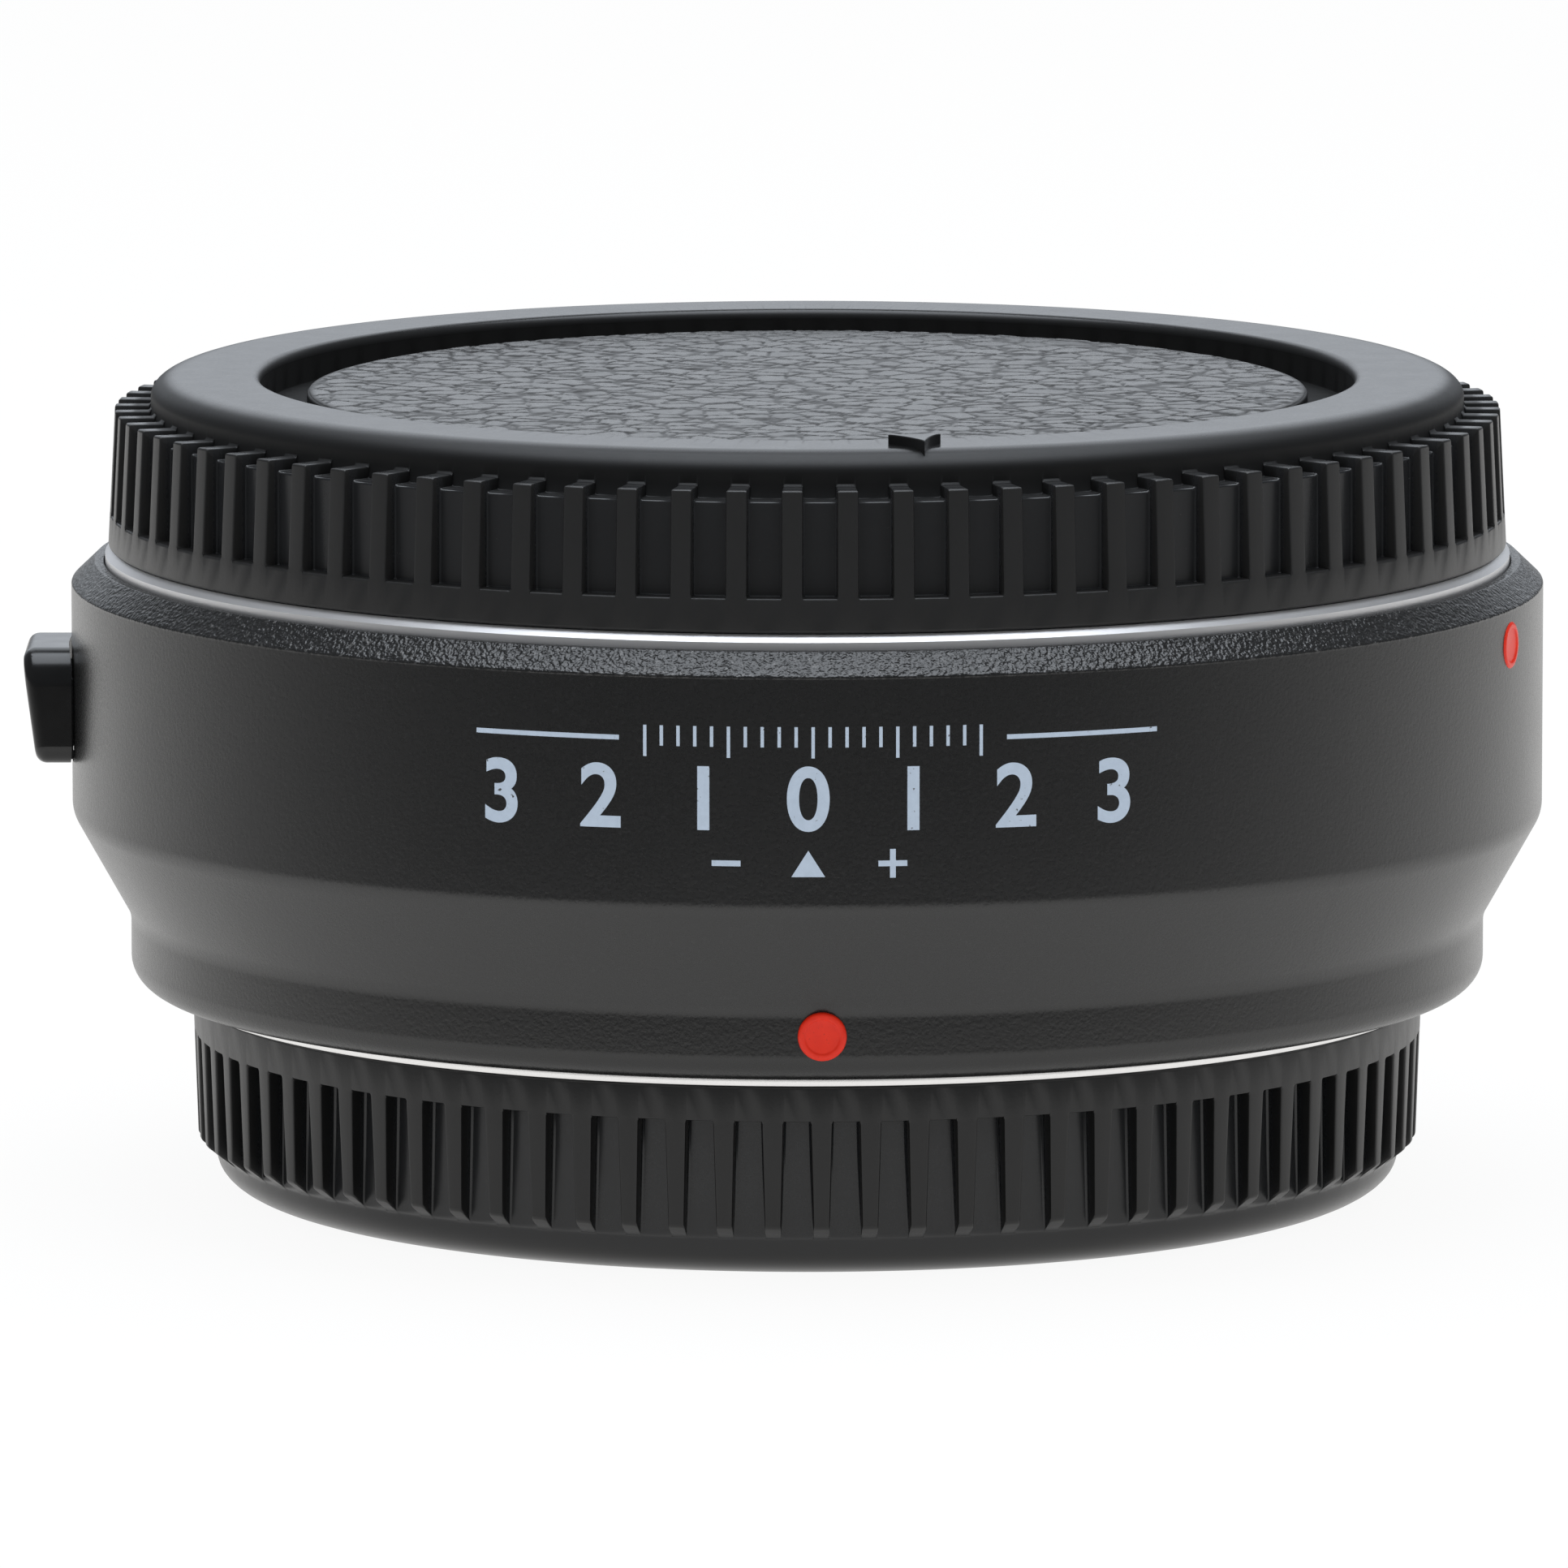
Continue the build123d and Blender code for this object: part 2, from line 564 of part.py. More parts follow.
def index_dot(radius, angle, z):
    """Round plug with a raised rim and a dished face."""
    low = radius - DOT_DEPTH
    top = radius + DOT_STANDS
    face_r = DOT_R - DOT_RIM_W
    dot = turned([(0, low), (DOT_R, low), (DOT_R, top), (face_r, top), (face_r - DOT_DISH, top - DOT_DISH),
                  (0, top - DOT_DISH)], [((DOT_R, top), DOT_ROUND)])
    return at(angle, 0, z) * Rot(0, 90, 0) * dot


def release_lever():
    """Thumb lever that bears on the barrel, with a neck through the barrel's slot."""
    inner = barrel_r - LEVER_STANDS
    outer = barrel_r + LEVER_STANDS
    side = make_face(Polyline((inner, lever_low), (outer - LEVER_TAPER, lever_low), (outer, lever_top),
                              (inner, lever_top), close=True))
    end = Rectangle(LEVER_W, LEVER_H)
    end = fillet(end.vertices().group_by(Axis.Y)[-1], LEVER_TOP_ROUND)
    end = fillet(end.vertices().group_by(Axis.Y)[0], LEVER_LOW_ROUND)
    grip = extrude(Plane.XZ * side, LEVER_W / 2, both=True)
    grip &= extrude(Plane.YZ * Pos(0, (lever_low + lever_top) / 2) * end, outer)
    grip = fillet(grip.faces().sort_by(Axis.X)[-1].edges(), LEVER_EDGE_ROUND)
    grip -= post(barrel_r + LEVER_GAP, lever_low - CUT_OVER, lever_top + CUT_OVER)
    neck_end = barrel_r + LEVER_STANDS / 2
    neck = Pos((carriage_out_r + neck_end) / 2, 0, (neck_low + neck_top) / 2) * Box(
        neck_end - carriage_out_r, NECK_W, NECK_H)
    neck -= neck & post(carriage_out_r, neck_low, neck_top)
    lever = at(LEVER_ANGLE) * (grip + neck)
    return lever - [place * screw_hole(RELEASE_SCREW_LENGTH) for place in release_screw_places()]


def release_carriage():
    block = Pos((carriage_in_r + bore_r) / 2, 0, (carriage_low + carriage_top) / 2) * Box(
        bore_r - carriage_in_r, CARRIAGE_W, CARRIAGE_H)
    block &= post(carriage_out_r, carriage_low, carriage_top)
    block -= Pos(lock_pin_circle_r) * post(LOCK_PIN_R + SEAT_FIT, carriage_low, carriage_top)
    carriage = at(LEVER_ANGLE) * block
    return carriage - [place * screw_hole(RELEASE_SCREW_LENGTH) for place in release_screw_places()]


def lock_pin():
    top = lens_face_z + LOCK_PIN_STANDS
    pin = turned([(0, carriage_low - LOCK_STEM_H), (LOCK_STEM_R, carriage_low - LOCK_STEM_H),
                  (LOCK_STEM_R, carriage_low), (LOCK_PIN_R, carriage_low), (LOCK_PIN_R, top - LOCK_PIN_NOSE),
                  (LOCK_PIN_R - LOCK_PIN_NOSE, top), (0, top)])
    return at(LEVER_ANGLE, lock_pin_circle_r) * pin


def lock_spring():
    """Coil spring between the frame's shelf and the release carriage, its fine wire drawn with flats."""
    height = SPRING_H - 2 * SPRING_WIRE_R
    path = Helix(height / SPRING_TURN_COUNT, height, SPRING_R)
    wire = Plane(path @ 0, z_dir=path % 0) * RegularPolygon(SPRING_WIRE_R, SPRING_FLAT_COUNT)
    coil = sweep(wire, path, is_frenet=True)
    return at(LEVER_ANGLE, lock_pin_circle_r, shelf_top + SPRING_WIRE_R) * coil


def body_cap():
    edge = lens_face_z + CAP_FIT
    rib_top = edge + BODY_CAP_RIB_H
    rim = rib_top + CAP_NECK_H
    ledge = rib_top - BODY_CAP_LEDGE_DROP
    disc = rim - DISC_DROP
    moat = disc - MOAT_DEPTH
    rib_top_r = body_cap_r - BODY_CAP_DRAFT
    groove_r = body_cap_r - BODY_CAP_GROOVE_DEPTH
    skirt_in = groove_r - BODY_CAP_SKIRT_WALL
    neck_in = cap_neck_r - CAP_WALL
    moat_wall_r = rim_inner_r + CAP_WALL
    lug_top = frame_top - LUG_FIT
    tube_low = lug_top - CAP_LUG_T
    cap = turned(
        [(body_cap_r, edge), (rib_top_r, rib_top), (cap_neck_r, rib_top), (cap_neck_r, rim),
         (rim_inner_r, rim), (rim_inner_r, moat), (disc_r, moat), (disc_r, disc), (0, disc),
         (0, disc - CAP_WALL), (cap_tube_in_r, disc - CAP_WALL), (cap_tube_in_r, tube_low),
         (cap_tube_r, tube_low), (cap_tube_r, moat - CAP_WALL), (moat_wall_r, moat - CAP_WALL),
         (moat_wall_r, rim - CAP_WALL), (neck_in, rim - CAP_WALL), (neck_in, ledge - CAP_WALL),
         (skirt_in, ledge - CAP_WALL), (skirt_in, edge)],
        [((cap_neck_r, rim), RIM_ROUND), ((rim_inner_r, rim), RIM_INNER_ROUND),
         ((disc_r, disc), DISC_ROUND)])
    for angle in around(LUG_COUNT, LENS_LUG_FIRST_ANGLE):
        cap += sector(cap_tube_r - CAP_TUBE_WALL / 2, lens_throat_r - TURN_FIT, tube_low, lug_top, angle,
                      CAP_LUG_ANGLE)
    pitch_w = 2 * pi * body_cap_r / RIB_COUNT
    far = body_cap_r + CUT_OVER
    high = rib_top + CUT_SKIM
    shelf_r = cap_neck_r + CAP_NECK_STEP
    groove = extrude(Plane.XZ * make_face(Polyline(
        (groove_r, edge + BODY_CAP_BAND), (far, edge + BODY_CAP_BAND), (far, high), (shelf_r, high),
        (shelf_r, ledge), (groove_r, ledge), close=True)), (pitch_w - RIB_W) / 2, both=True)
    cap -= [at(a) * groove for a in around(RIB_COUNT, FRONT_ANGLE + BODY_RIB_ANGLE + 180 / RIB_COUNT)]
    return cap + at(FRONT_ANGLE + CAP_MARK_ANGLE, 0, rim - MARK_DEPTH) * index_mark()


def index_mark():
    """Arrow head with hollow sides that points out along the radius."""
    tip = (mark_tip_r, 0)
    corners = [(mark_inner_r, side * MARK_W / 2) for side in (-1, 1)]
    waists = [(mark_tip_r - MARK_LENGTH / 2 - MARK_HOLLOW, side * (MARK_W / 4 - MARK_HOLLOW))
              for side in (-1, 1)]
    outline = Line(corners[1], corners[0])
    outline += [ThreePointArc(corner, waist, tip) for corner, waist in zip(corners, waists)]
    return extrude(make_face(outline), MARK_DEPTH + MARK_STANDS)


def rear_cap():
    edge = CAMERA_FACE_Z - CAP_FIT
    rib_low_r = rear_cap_r - REAR_CAP_DRAFT
    floor = REAR_CAP_RECESS_H + REAR_CAP_FLOOR
    skirt_in = rear_groove_r - REAR_CAP_SKIRT_WALL
    ring_in = spigot_lug_r + REAR_CAP_RING_GAP
    ring_r = ring_in + REAR_CAP_RING_WALL
    ring_top = edge - REAR_CAP_RING_DROP
    lug_low = CAMERA_FACE_Z - SPIGOT_LUG_DROP + LUG_FIT
    cap = turned(
        [(rear_cap_r, edge), (rib_low_r, REAR_CAP_RIB_LOW_Z), (rear_cap_low_r, REAR_CAP_STEP_Z),
         (rear_cap_low_r, 0), (rear_recess_r, 0), (rear_recess_r, REAR_CAP_RECESS_H),
         (0, REAR_CAP_RECESS_H), (0, floor), (ring_in, floor), (ring_in, ring_top), (ring_r, ring_top),
         (ring_r, floor), (skirt_in, floor), (skirt_in, edge)],
        [((rear_cap_low_r, 0), REAR_CAP_ROUND)])
    for angle in around(LUG_COUNT, SPIGOT_LUG_FIRST_ANGLE):
        cap += sector(spigot_r + TURN_FIT, ring_in + REAR_CAP_RING_WALL / 2, lug_low, ring_top, angle,
                      REAR_CAP_LUG_ANGLE)
    pitch_w = 2 * pi * rear_cap_r / RIB_COUNT
    top_half = (pitch_w - REAR_RIB_TOP_W) / 2
    low_half = (pitch_w - REAR_RIB_LOW_W) / 2
    groove_top = edge - REAR_CAP_BAND
    groove_low = REAR_CAP_STEP_Z - CUT_SKIM
    section = make_face(Polyline((-top_half, groove_top), (top_half, groove_top), (low_half, groove_low),
                                 (-low_half, groove_low), close=True))
    groove = extrude(Plane.YZ.offset(rear_groove_r) * section, rear_cap_r - rear_groove_r + CUT_OVER)
    return cap - [at(a) * groove for a in around(RIB_COUNT, FRONT_ANGLE + REAR_RIB_ANGLE + 180 / RIB_COUNT)]


def all_nodes():
    """Every node of the part: its name and its solids."""
    nodes = {
        "outer_barrel": [outer_barrel()],
        "inner_frame": [inner_frame()],
        "lens_mount_ring": [lens_mount_ring()],
        "mount_leaf_spring": [mount_leaf_spring()],
        "lens_mount_screws": [place * screw(LENS_SCREW_LENGTH) for place in lens_screw_places()],
        "camera_mount_ring": [camera_mount_ring()],
        "camera_mount_screws": [place * screw(CAMERA_SCREW_LENGTH) for place in camera_screw_places()],
        "lens_contact_block": [lens_contact_block()],
        "contact_sleeves": [place * contact_sleeve() for place in pin_places()],
        "camera_contact_block": [camera_contact_block()],
        "camera_contact_pads": camera_contact_pads(),
        "circuit_board": [circuit_board()],
        "board_screws": [place * screw(BOARD_SCREW_LENGTH) for place in board_screw_places()],
        "controller_chip": [controller_chip()],
        "lens_flex": [lens_flex()],
        "camera_flex": [camera_flex()],
        "release_lever": [release_lever()],
        "release_carriage": [release_carriage()],
        "release_screws": [place * screw(RELEASE_SCREW_LENGTH) for place in release_screw_places()],
        "lock_pin": [lock_pin()],
        "lock_spring": [lock_spring()],
        "body_cap": [body_cap()],
        "rear_cap": [rear_cap()],
    }
    for name, place in dot_places().items():
        nodes[name] = [index_dot(*place)]
    for number, place in enumerate(pin_places(), 1):
        nodes[f"contact_pin_{number}"] = [place * contact_pin()]
    return nodes


os.makedirs("parts", exist_ok=True)
for node, pieces in all_nodes().items():
    solids = [solid for piece in pieces for solid in piece.solids()]
    export_step(solids[0] if len(solids) == 1 else Compound(children=solids), f"parts/{node}.step")
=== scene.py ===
import json
import math

import bmesh
import bpy
from mathutils import Matrix, Vector, noise


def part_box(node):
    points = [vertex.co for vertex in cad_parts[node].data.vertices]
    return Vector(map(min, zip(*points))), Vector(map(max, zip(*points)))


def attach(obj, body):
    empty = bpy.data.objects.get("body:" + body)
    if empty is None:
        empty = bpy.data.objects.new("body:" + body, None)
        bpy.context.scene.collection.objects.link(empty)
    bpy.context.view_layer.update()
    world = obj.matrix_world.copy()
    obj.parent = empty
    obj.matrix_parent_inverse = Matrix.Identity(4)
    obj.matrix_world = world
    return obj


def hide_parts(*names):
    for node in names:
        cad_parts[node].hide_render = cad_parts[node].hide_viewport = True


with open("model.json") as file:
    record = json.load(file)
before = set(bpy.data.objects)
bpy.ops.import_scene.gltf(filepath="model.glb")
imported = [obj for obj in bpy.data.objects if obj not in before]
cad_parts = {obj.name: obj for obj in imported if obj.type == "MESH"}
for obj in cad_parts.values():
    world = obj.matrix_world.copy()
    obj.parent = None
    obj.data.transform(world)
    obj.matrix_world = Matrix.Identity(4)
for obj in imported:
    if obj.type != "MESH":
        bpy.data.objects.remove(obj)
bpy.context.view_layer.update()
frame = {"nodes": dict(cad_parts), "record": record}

# Sizes are in millimetres and angles in degrees, as on the part's drawing. MM takes them to metres.
MM = 0.001
FRONT_ANGLE = -90.0
LEVER_ANGLE = 180.0
LUG_COUNT = 3
LUG_FIRST_ANGLE = 30.0
CAP_FIT = 0.05
SHARP_ANGLE = 40.0

# Small roundings, as (radius, steps)
CAP_EDGE = (0.12, 3)
BAND_EDGE = (0.08, 2)
RIB_END = (0.10, 3)
INNER_CORNER = (0.1, 2)
DISC_EDGE = (0.15, 3)
REAR_BAND_EDGE = (0.07, 2)
REAR_RIB_END = (0.25, 4)
REAR_STEP_EDGE = (0.2, 3)
RECESS_EDGE = (0.15, 2)
SOCKET_EDGE = (0.08, 2)
FOOT_EDGE = (1.2, 10)
CONE_EDGE = (1.5, 6)
LIP_LOW_EDGE = (0.12, 3)
LIP_TOP_EDGE = (0.10, 3)
SEAT_EDGE = (0.06, 2)
DOT_EDGE = (0.15, 5)
DISH_EDGE = (0.08, 3)
CHROME_EDGE = (0.05, 3)


def level_of(node, end):
    """Lowest (end 0) or highest (end 1) level of a CAD node, in millimetres."""
    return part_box(node)[end].z / MM


def radius_of(node):
    """Outer radius of a round CAD node, in millimetres."""
    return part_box(node)[1].x / MM


# Levels and radii that the looks are hung on, read from the frame
lens_face = level_of("lens_mount_ring", 1)
lens_ring_r = radius_of("lens_mount_ring")
barrel_low = level_of("outer_barrel", 0)
barrel_top = level_of("outer_barrel", 1)
barrel_r = radius_of("outer_barrel")
camera_ring_r = radius_of("camera_mount_ring")
rear_edge = level_of("rear_cap", 1)
camera_face = rear_edge + CAP_FIT
rear_cap_r = radius_of("rear_cap")

# Body cap
CAP_INSET = 0.15
CAP_DRAFT = 0.3
CAP_RIB_H = 5.9
CAP_BAND = 1.45
CAP_LEDGE_DROP = 0.52
CAP_GROOVE_DEPTH = 0.8
CAP_SKIRT_WALL = 1.1
CAP_SHOULDER = 1.85
CAP_NECK_STEP = 0.1
CAP_NECK_H = 1.46
CAP_WALL = 1.4
RIM_W = 4.7
RIM_LEVEL_DROP = 0.06
RIM_ROUND_W = 1.5
RIM_ROUND_H = 0.9
RIM_INNER_ROUND = 0.4
RIM_INNER_STEPS = 6
MOAT_W = 2.0
MOAT_DEPTH = 0.8
MOAT_SLACK = 0.02
DISC_DROP = 0.8
CAP_TUBE_R = 23.1
CAP_TUBE_WALL = 1.5
CAP_LUG_R = 24.9
CAP_LUG_T = 1.25
CAP_LUG_ANGLE = 44.0
MARK_ANGLE = 10.0
MARK_W = 2.25
MARK_LENGTH = 2.35
MARK_INSET = 0.45
MARK_HOLLOW = 0.12
MARK_STANDS = 0.41
MARK_SINK = 0.6
MARK_CURVE_STEPS = 8
MARK_BEVEL = 0.05
MARK_BEVEL_ANGLE = 50.0

cap_r = lens_ring_r - CAP_INSET
cap_edge = lens_face + CAP_FIT
cap_band_top = cap_edge + CAP_BAND
cap_rib_top = cap_edge + CAP_RIB_H
cap_ledge = cap_rib_top - CAP_LEDGE_DROP
cap_rim = cap_rib_top + CAP_NECK_H - RIM_LEVEL_DROP
cap_disc = cap_rim + RIM_LEVEL_DROP - DISC_DROP
cap_groove_r = cap_r - CAP_GROOVE_DEPTH
cap_neck_r = cap_r - CAP_SHOULDER
rim_inner_r = cap_neck_r - RIM_W
disc_r = rim_inner_r - MOAT_W

# Rear cap
REAR_DRAFT = 0.2
REAR_BAND = 1.5
REAR_RIB_LOW = 2.3
REAR_STEP = 1.7
REAR_TUCK = 1.0
REAR_STEP_W = 0.02
REAR_GROOVE_RISE = 0.15
REAR_ROUND_W = 2.3
REAR_ROUND_H = 1.5
REAR_GROOVE_DEPTH = 0.85
REAR_FLOOR = 2.0
REAR_RECESS_R = 22.4
REAR_RECESS_H = 0.4
REAR_SKIRT_WALL = 1.4
REAR_RING_IN_R = 20.6
REAR_RING_WALL = 1.3
REAR_RING_DROP = 0.15
REAR_LUG_R = 19.1
REAR_LUG_LOW = 6.79
REAR_LUG_ANGLE = 46.0

# Grip ribs of both caps
RIB_COUNT = 81
RIB_PITCH = 360 / RIB_COUNT
BAND_SLOPE = 0.1
RIB_SWAY_SHARE = 6
CAP_RIB_W = 0.89
CAP_RIB_ANGLE = -1.28
REAR_RIB_TOP_W = 0.91
REAR_RIB_LOW_W = 0.65
REAR_RIB_ANGLE = 1.24

# Barrel
FOOT_W = 2.3
FOOT_H = 3.1
CONE_H = 4.45
CHAMFER_H = 0.95
CHAMFER_W = 1.0
BARREL_WALL = 1.9
INNER_CONE_RISE = 0.6
SEAT_FIT = 0.05
RING_SEAT_LOW = 26.21
SOCKET_TOP = 10.19
FLOOR_TOP = 11.89
THROAT_R = 18.2
SLOT_LOW = 18.69
SLOT_TOP = 21.95
SLOT_W = 6.56
BARREL_COLUMNS = 360

# Dark pad behind the release lever, which closes the gap to the barrel: painted shade in place of the dark
# gap
PAD_W = 6.8
PAD_LOW = 18.85
PAD_TOP = 22.3
PAD_IN = 0.02
PAD_OUT = 0.16
PAD_COLUMNS = 12

# Bright edge of the camera ring between the barrel and the rear cap
EDGE_W = 0.3
EDGE_STANDS = 0.02
EDGE_GAP = 0.02
EDGE_COLUMNS = 240

# Index dots: how far each stands and how its face is dished
DOT_R = 1.02
CAMERA_DOT_STANDS = 0.28
LENS_DOT_STANDS = 0.07
DOT_DEPTH = 0.6
DOT_RIM_W = 0.26
DOT_DISH = 0.06
DOT_COLUMNS = 72

# Leather grain of the cap's disc
GRAIN_CELLS = 280
GRAIN_SEED = 7
GRAIN_INSET = 0.1
GRAIN_BASE = 0.02
GRAIN_DEPTH = 0.08
GRAIN_SINK = 0.2
GRAIN_ISLAND = 1.4
GRAIN_SPLIT = 0.62
GRAIN_SPLIT_SHIFT = Vector((7.1, 3.3, 1.7))
GRAIN_WARP = 0.3
GRAIN_WARP_RATE = 0.7
GRAIN_CREASE = (0.01, 0.12)
GRAIN_FOLD = (0.0, 0.16)
GRAIN_FOLD_LEVEL = 0.8
GRAIN_LIFT = 0.88
GRAIN_LIFT_SPREAD = 0.24
GRAIN_LIFT_RATE = 5.3
GRAIN_EDGE_W = 0.3

# Printed scale on the barrel's front
PRINT_STANDS = 0.02
PRINT_SINK = 0.02
PRINT_STEP = 0.4
PRINT_BOLD = 0.07
FIGURE_PITCH = 4.35
FIGURE_SIZE = 3.7
FIGURE_LEVEL = 21.05
FIGURE_LAST = 3
RULE_LOW, RULE_TOP = 23.55, 23.75
LEFT_RULE = (-14.2, -7.9)
RIGHT_RULE = (8.3, 15.0)
POINTER_HALF_W = 0.7
POINTER_LOW, POINTER_TOP = 17.95, 19.05
MINUS_SIGN = (-4.0, -2.8)
PLUS_SIGN = (2.9, 4.1)
PLUS_STEM = (3.38, 3.62)
STEM_LOW, STEM_TOP = 17.9, 19.1
SIGN_LOW, SIGN_TOP = 18.38, 18.62
TICK_LAST = 10
TICK_PITCH = 0.7
TICK_SHIFT = 0.2
TICK_HALF_W = 0.07
TICK_LOW, TICK_TOP = 23.35, 24.2
LONG_TICK_LOW = 22.9
LONG_TICK_EVERY = 5

# Photograph's camera, and how it was aimed
LENS_LENGTH = 394.03
SENSOR = 36.0
AIM = Vector((-1.002, 0.0, 17.284))
CAMERA_DISTANCE = 740.0
CAMERA_ELEVATION = 8.18


class Socket:
    """An output of a node tree; arithmetic on it adds Math nodes."""

    def __init__(self, nodes, link):
        self.nodes = nodes
        self.link = link

    def __add__(self, other):
        return self.nodes.maths("ADD", self, other)

    def __radd__(self, other):
        return self.nodes.maths("ADD", other, self)

    def __sub__(self, other):
        return self.nodes.maths("SUBTRACT", self, other)

    def __rsub__(self, other):
        return self.nodes.maths("SUBTRACT", other, self)

    def __mul__(self, other):
        return self.nodes.maths("MULTIPLY", self, other)

    def __rmul__(self, other):
        return self.nodes.maths("MULTIPLY", other, self)

    def __truediv__(self, other):
        return self.nodes.maths("DIVIDE", self, other)

    def __rtruediv__(self, other):
        return self.nodes.maths("DIVIDE", other, self)

    def __pow__(self, other):
        return self.nodes.maths("POWER", self, other)


class Nodes:
    """The node tree of a material or of the world."""

    def __init__(self, tree):
        self.tree = tree
        tree.nodes.clear()

    def node(self, kind, settings=None, sockets=None, output=0):
        """Adds a node: its settings first, then the values or links of its sockets."""
        made = self.tree.nodes.new(kind)
        for key, value in (settings or {}).items():
            setattr(made, key, value)
        for key, value in (sockets or {}).items():
            if isinstance(value, Socket):
                self.tree.links.new(value.link, made.inputs[key])
            else:
                made.inputs[key].default_value = value
        return Socket(self, made.outputs[output]) if made.outputs else None

    def maths(self, operation, *values):
        return self.node("ShaderNodeMath", {"operation": operation}, dict(enumerate(values)))

    def clamp(self, value):
        return self.node("ShaderNodeClamp", {}, {"Value": value})

    def ramp(self, value, low, high):
        """0 below low, 1 above high and a smooth step between."""
        return self.node("ShaderNodeMapRange", {"interpolation_type": "SMOOTHSTEP"},
                         {"Value": value, "From Min": low, "From Max": high})

    def blend(self, factor, low, high):
        """Colour that goes from low to high with the factor."""
        return self.node("ShaderNodeMix", {"data_type": "RGBA"}, {0: factor, 6: low, 7: high}, 2)

    def place(self):
        """Position on the piece, in millimetres."""
        spot = self.node("ShaderNodeTexCoord", output=3)
        return self.node("ShaderNodeVectorMath", {"operation": "SCALE"}, {0: spot, 3: 1 / MM})

    def parts_of(self, vector):
        """x, y and z of a vector."""
        split = self.node("ShaderNodeSeparateXYZ", {}, {0: vector})
        return [Socket(self, out) for out in split.link.node.outputs]

    def grain(self, place, size, detail=2.0, roughness=0.5):
        """Noise from 0 to 1 whose lumps are about this size, in millimetres."""
        return self.node("ShaderNodeTexNoise", {"noise_dimensions": "3D"},
                         {"Vector": place, "Scale": 1 / size, "Detail": detail, "Roughness": roughness})

    def cells(self, place, size, feature="F1"):
        """Distance in a cell pattern of about this size, in millimetres."""
        return self.node("ShaderNodeTexVoronoi", {"feature": feature},
                         {"Vector": place, "Scale": 1 / size})

    def bump(self, height, depth, strength=1.0):
        """Normal of a relief of this depth, in millimetres."""
        return self.node("ShaderNodeBump", {},
                         {"Height": height, "Distance": depth * MM, "Strength": strength})


def finish(name, make):
    """Material whose shader inputs come from make(nodes)."""
    made = bpy.data.materials.new(name)
    made.use_nodes = True
    nodes = Nodes(made.node_tree)
    shader = nodes.node("ShaderNodeBsdfPrincipled", {}, make(nodes))
    nodes.node("ShaderNodeOutputMaterial", {}, {"Surface": shader})
    return made


def grey(level, warmth=0.0):
    return (level * (1 + warmth), level, level * (1 - warmth), 1.0)


def barrel_paint(nodes):
    """Satin black on blasted metal: a fine even tooth, a coarser pebble and painted glint specks on the
    chamfered lip, and painted shade on the foot.
    """
    place = nodes.place()
    x, y, z = nodes.parts_of(place)
    on_lip = nodes.ramp(z, barrel_top - CHAMFER_H - 0.1, barrel_top - CHAMFER_H + 0.1)
    tooth = nodes.grain(place, 0.15, 3.0, 0.6)
    pebble = nodes.grain(place, 0.19, 1.0)
    drift = nodes.grain(place, 5.0)
    spark = nodes.ramp(nodes.grain(place, 0.2, 1.0), 0.60, 0.76)
    # Painted shade: the foot below the cone is painted darker than the rest of the barrel.
    foot_shade = 1 - nodes.ramp(z, barrel_low + FOOT_H - 0.5, barrel_low + FOOT_H + 0.1)
    shade = nodes.blend(nodes.clamp(tooth * 0.7 + spark * 0.5), grey(0.008), grey(0.016))
    # Painted glints: pale specks on the chamfered lip stand in for sparkle highlights.
    shade = nodes.blend(spark * on_lip, shade, grey(0.10))
    return {"Base Color": nodes.blend(foot_shade, shade, grey(0.003)),
            "Roughness": 0.20 + tooth * 0.10 + drift * 0.05,
            "IOR": 1.62,
            "Normal": nodes.bump(pebble * (0.05 + on_lip * 0.60) + tooth * 0.06, 0.15, 0.8)}


def cap_plastic(nodes, groove_r, rib_r, level, groove_level, polished_z):
    """Moulded black plastic: a fine spark texture on the ribs, and smoother in the grooves.

    level and groove_level scale how pale the ribs and the grooves are. Inside the grooves' radius the
    cap is darkest, and dull below polished_z.
    """
    place = nodes.place()
    x, y, z = nodes.parts_of(place)
    away = (x * x + y * y) ** 0.5
    on_rib = nodes.ramp(away, groove_r + 0.1, rib_r - 0.1)
    ribbed = nodes.ramp(away, groove_r - 0.5, groove_r - 0.1)
    dull = (1 - ribbed) * (1 - nodes.ramp(z, polished_z - 0.25, polished_z))
    tooth = nodes.grain(place, 0.14, 3.0, 0.6)
    smear = nodes.grain(place, 1.6, 4.0, 0.6)
    groove = tuple(c * groove_level for c in (0.0140, 0.0152, 0.0172)) + (1.0,)
    shade = nodes.blend(on_rib, groove, grey(0.0160 * level, 0.02))
    shade = nodes.blend(ribbed, grey(0.004), shade)
    worn = nodes.blend(ribbed, grey(0.007), grey(0.021 * level, 0.01))
    return {"Base Color": nodes.blend(nodes.clamp(tooth * 0.5 + smear * 0.4), shade, worn),
            "Roughness": 0.18 + on_rib * 0.12 + dull * 0.28 + tooth * 0.08 + smear * 0.06,
            "Normal": nodes.bump(tooth * (0.3 + on_rib * 0.7), 0.010, 0.45)}


def body_cap_plastic(nodes):
    return cap_plastic(nodes, cap_groove_r, cap_r - CAP_DRAFT, 1.0, 1.0, cap_rim - 0.02)


def rear_cap_plastic(nodes):
    # Painted shade: level 0.55 makes the rear cap a darker copy of the same cap plastic.
    return cap_plastic(nodes, rear_cap_r - REAR_GROOVE_DEPTH, rear_cap_r - REAR_DRAFT, 0.55, 1.0, 0.0)


def moat_plastic(nodes):
    """Dull black of the moat round the disc, painted darker and made less reflective as painted shade in
    the recess.
    """
    tooth = nodes.grain(nodes.place(), 0.14, 3.0)
    return {"Base Color": nodes.blend(tooth, grey(0.006), grey(0.012)),
            "Roughness": 0.6 + tooth * 0.2,
            "Specular IOR Level": 0.2}


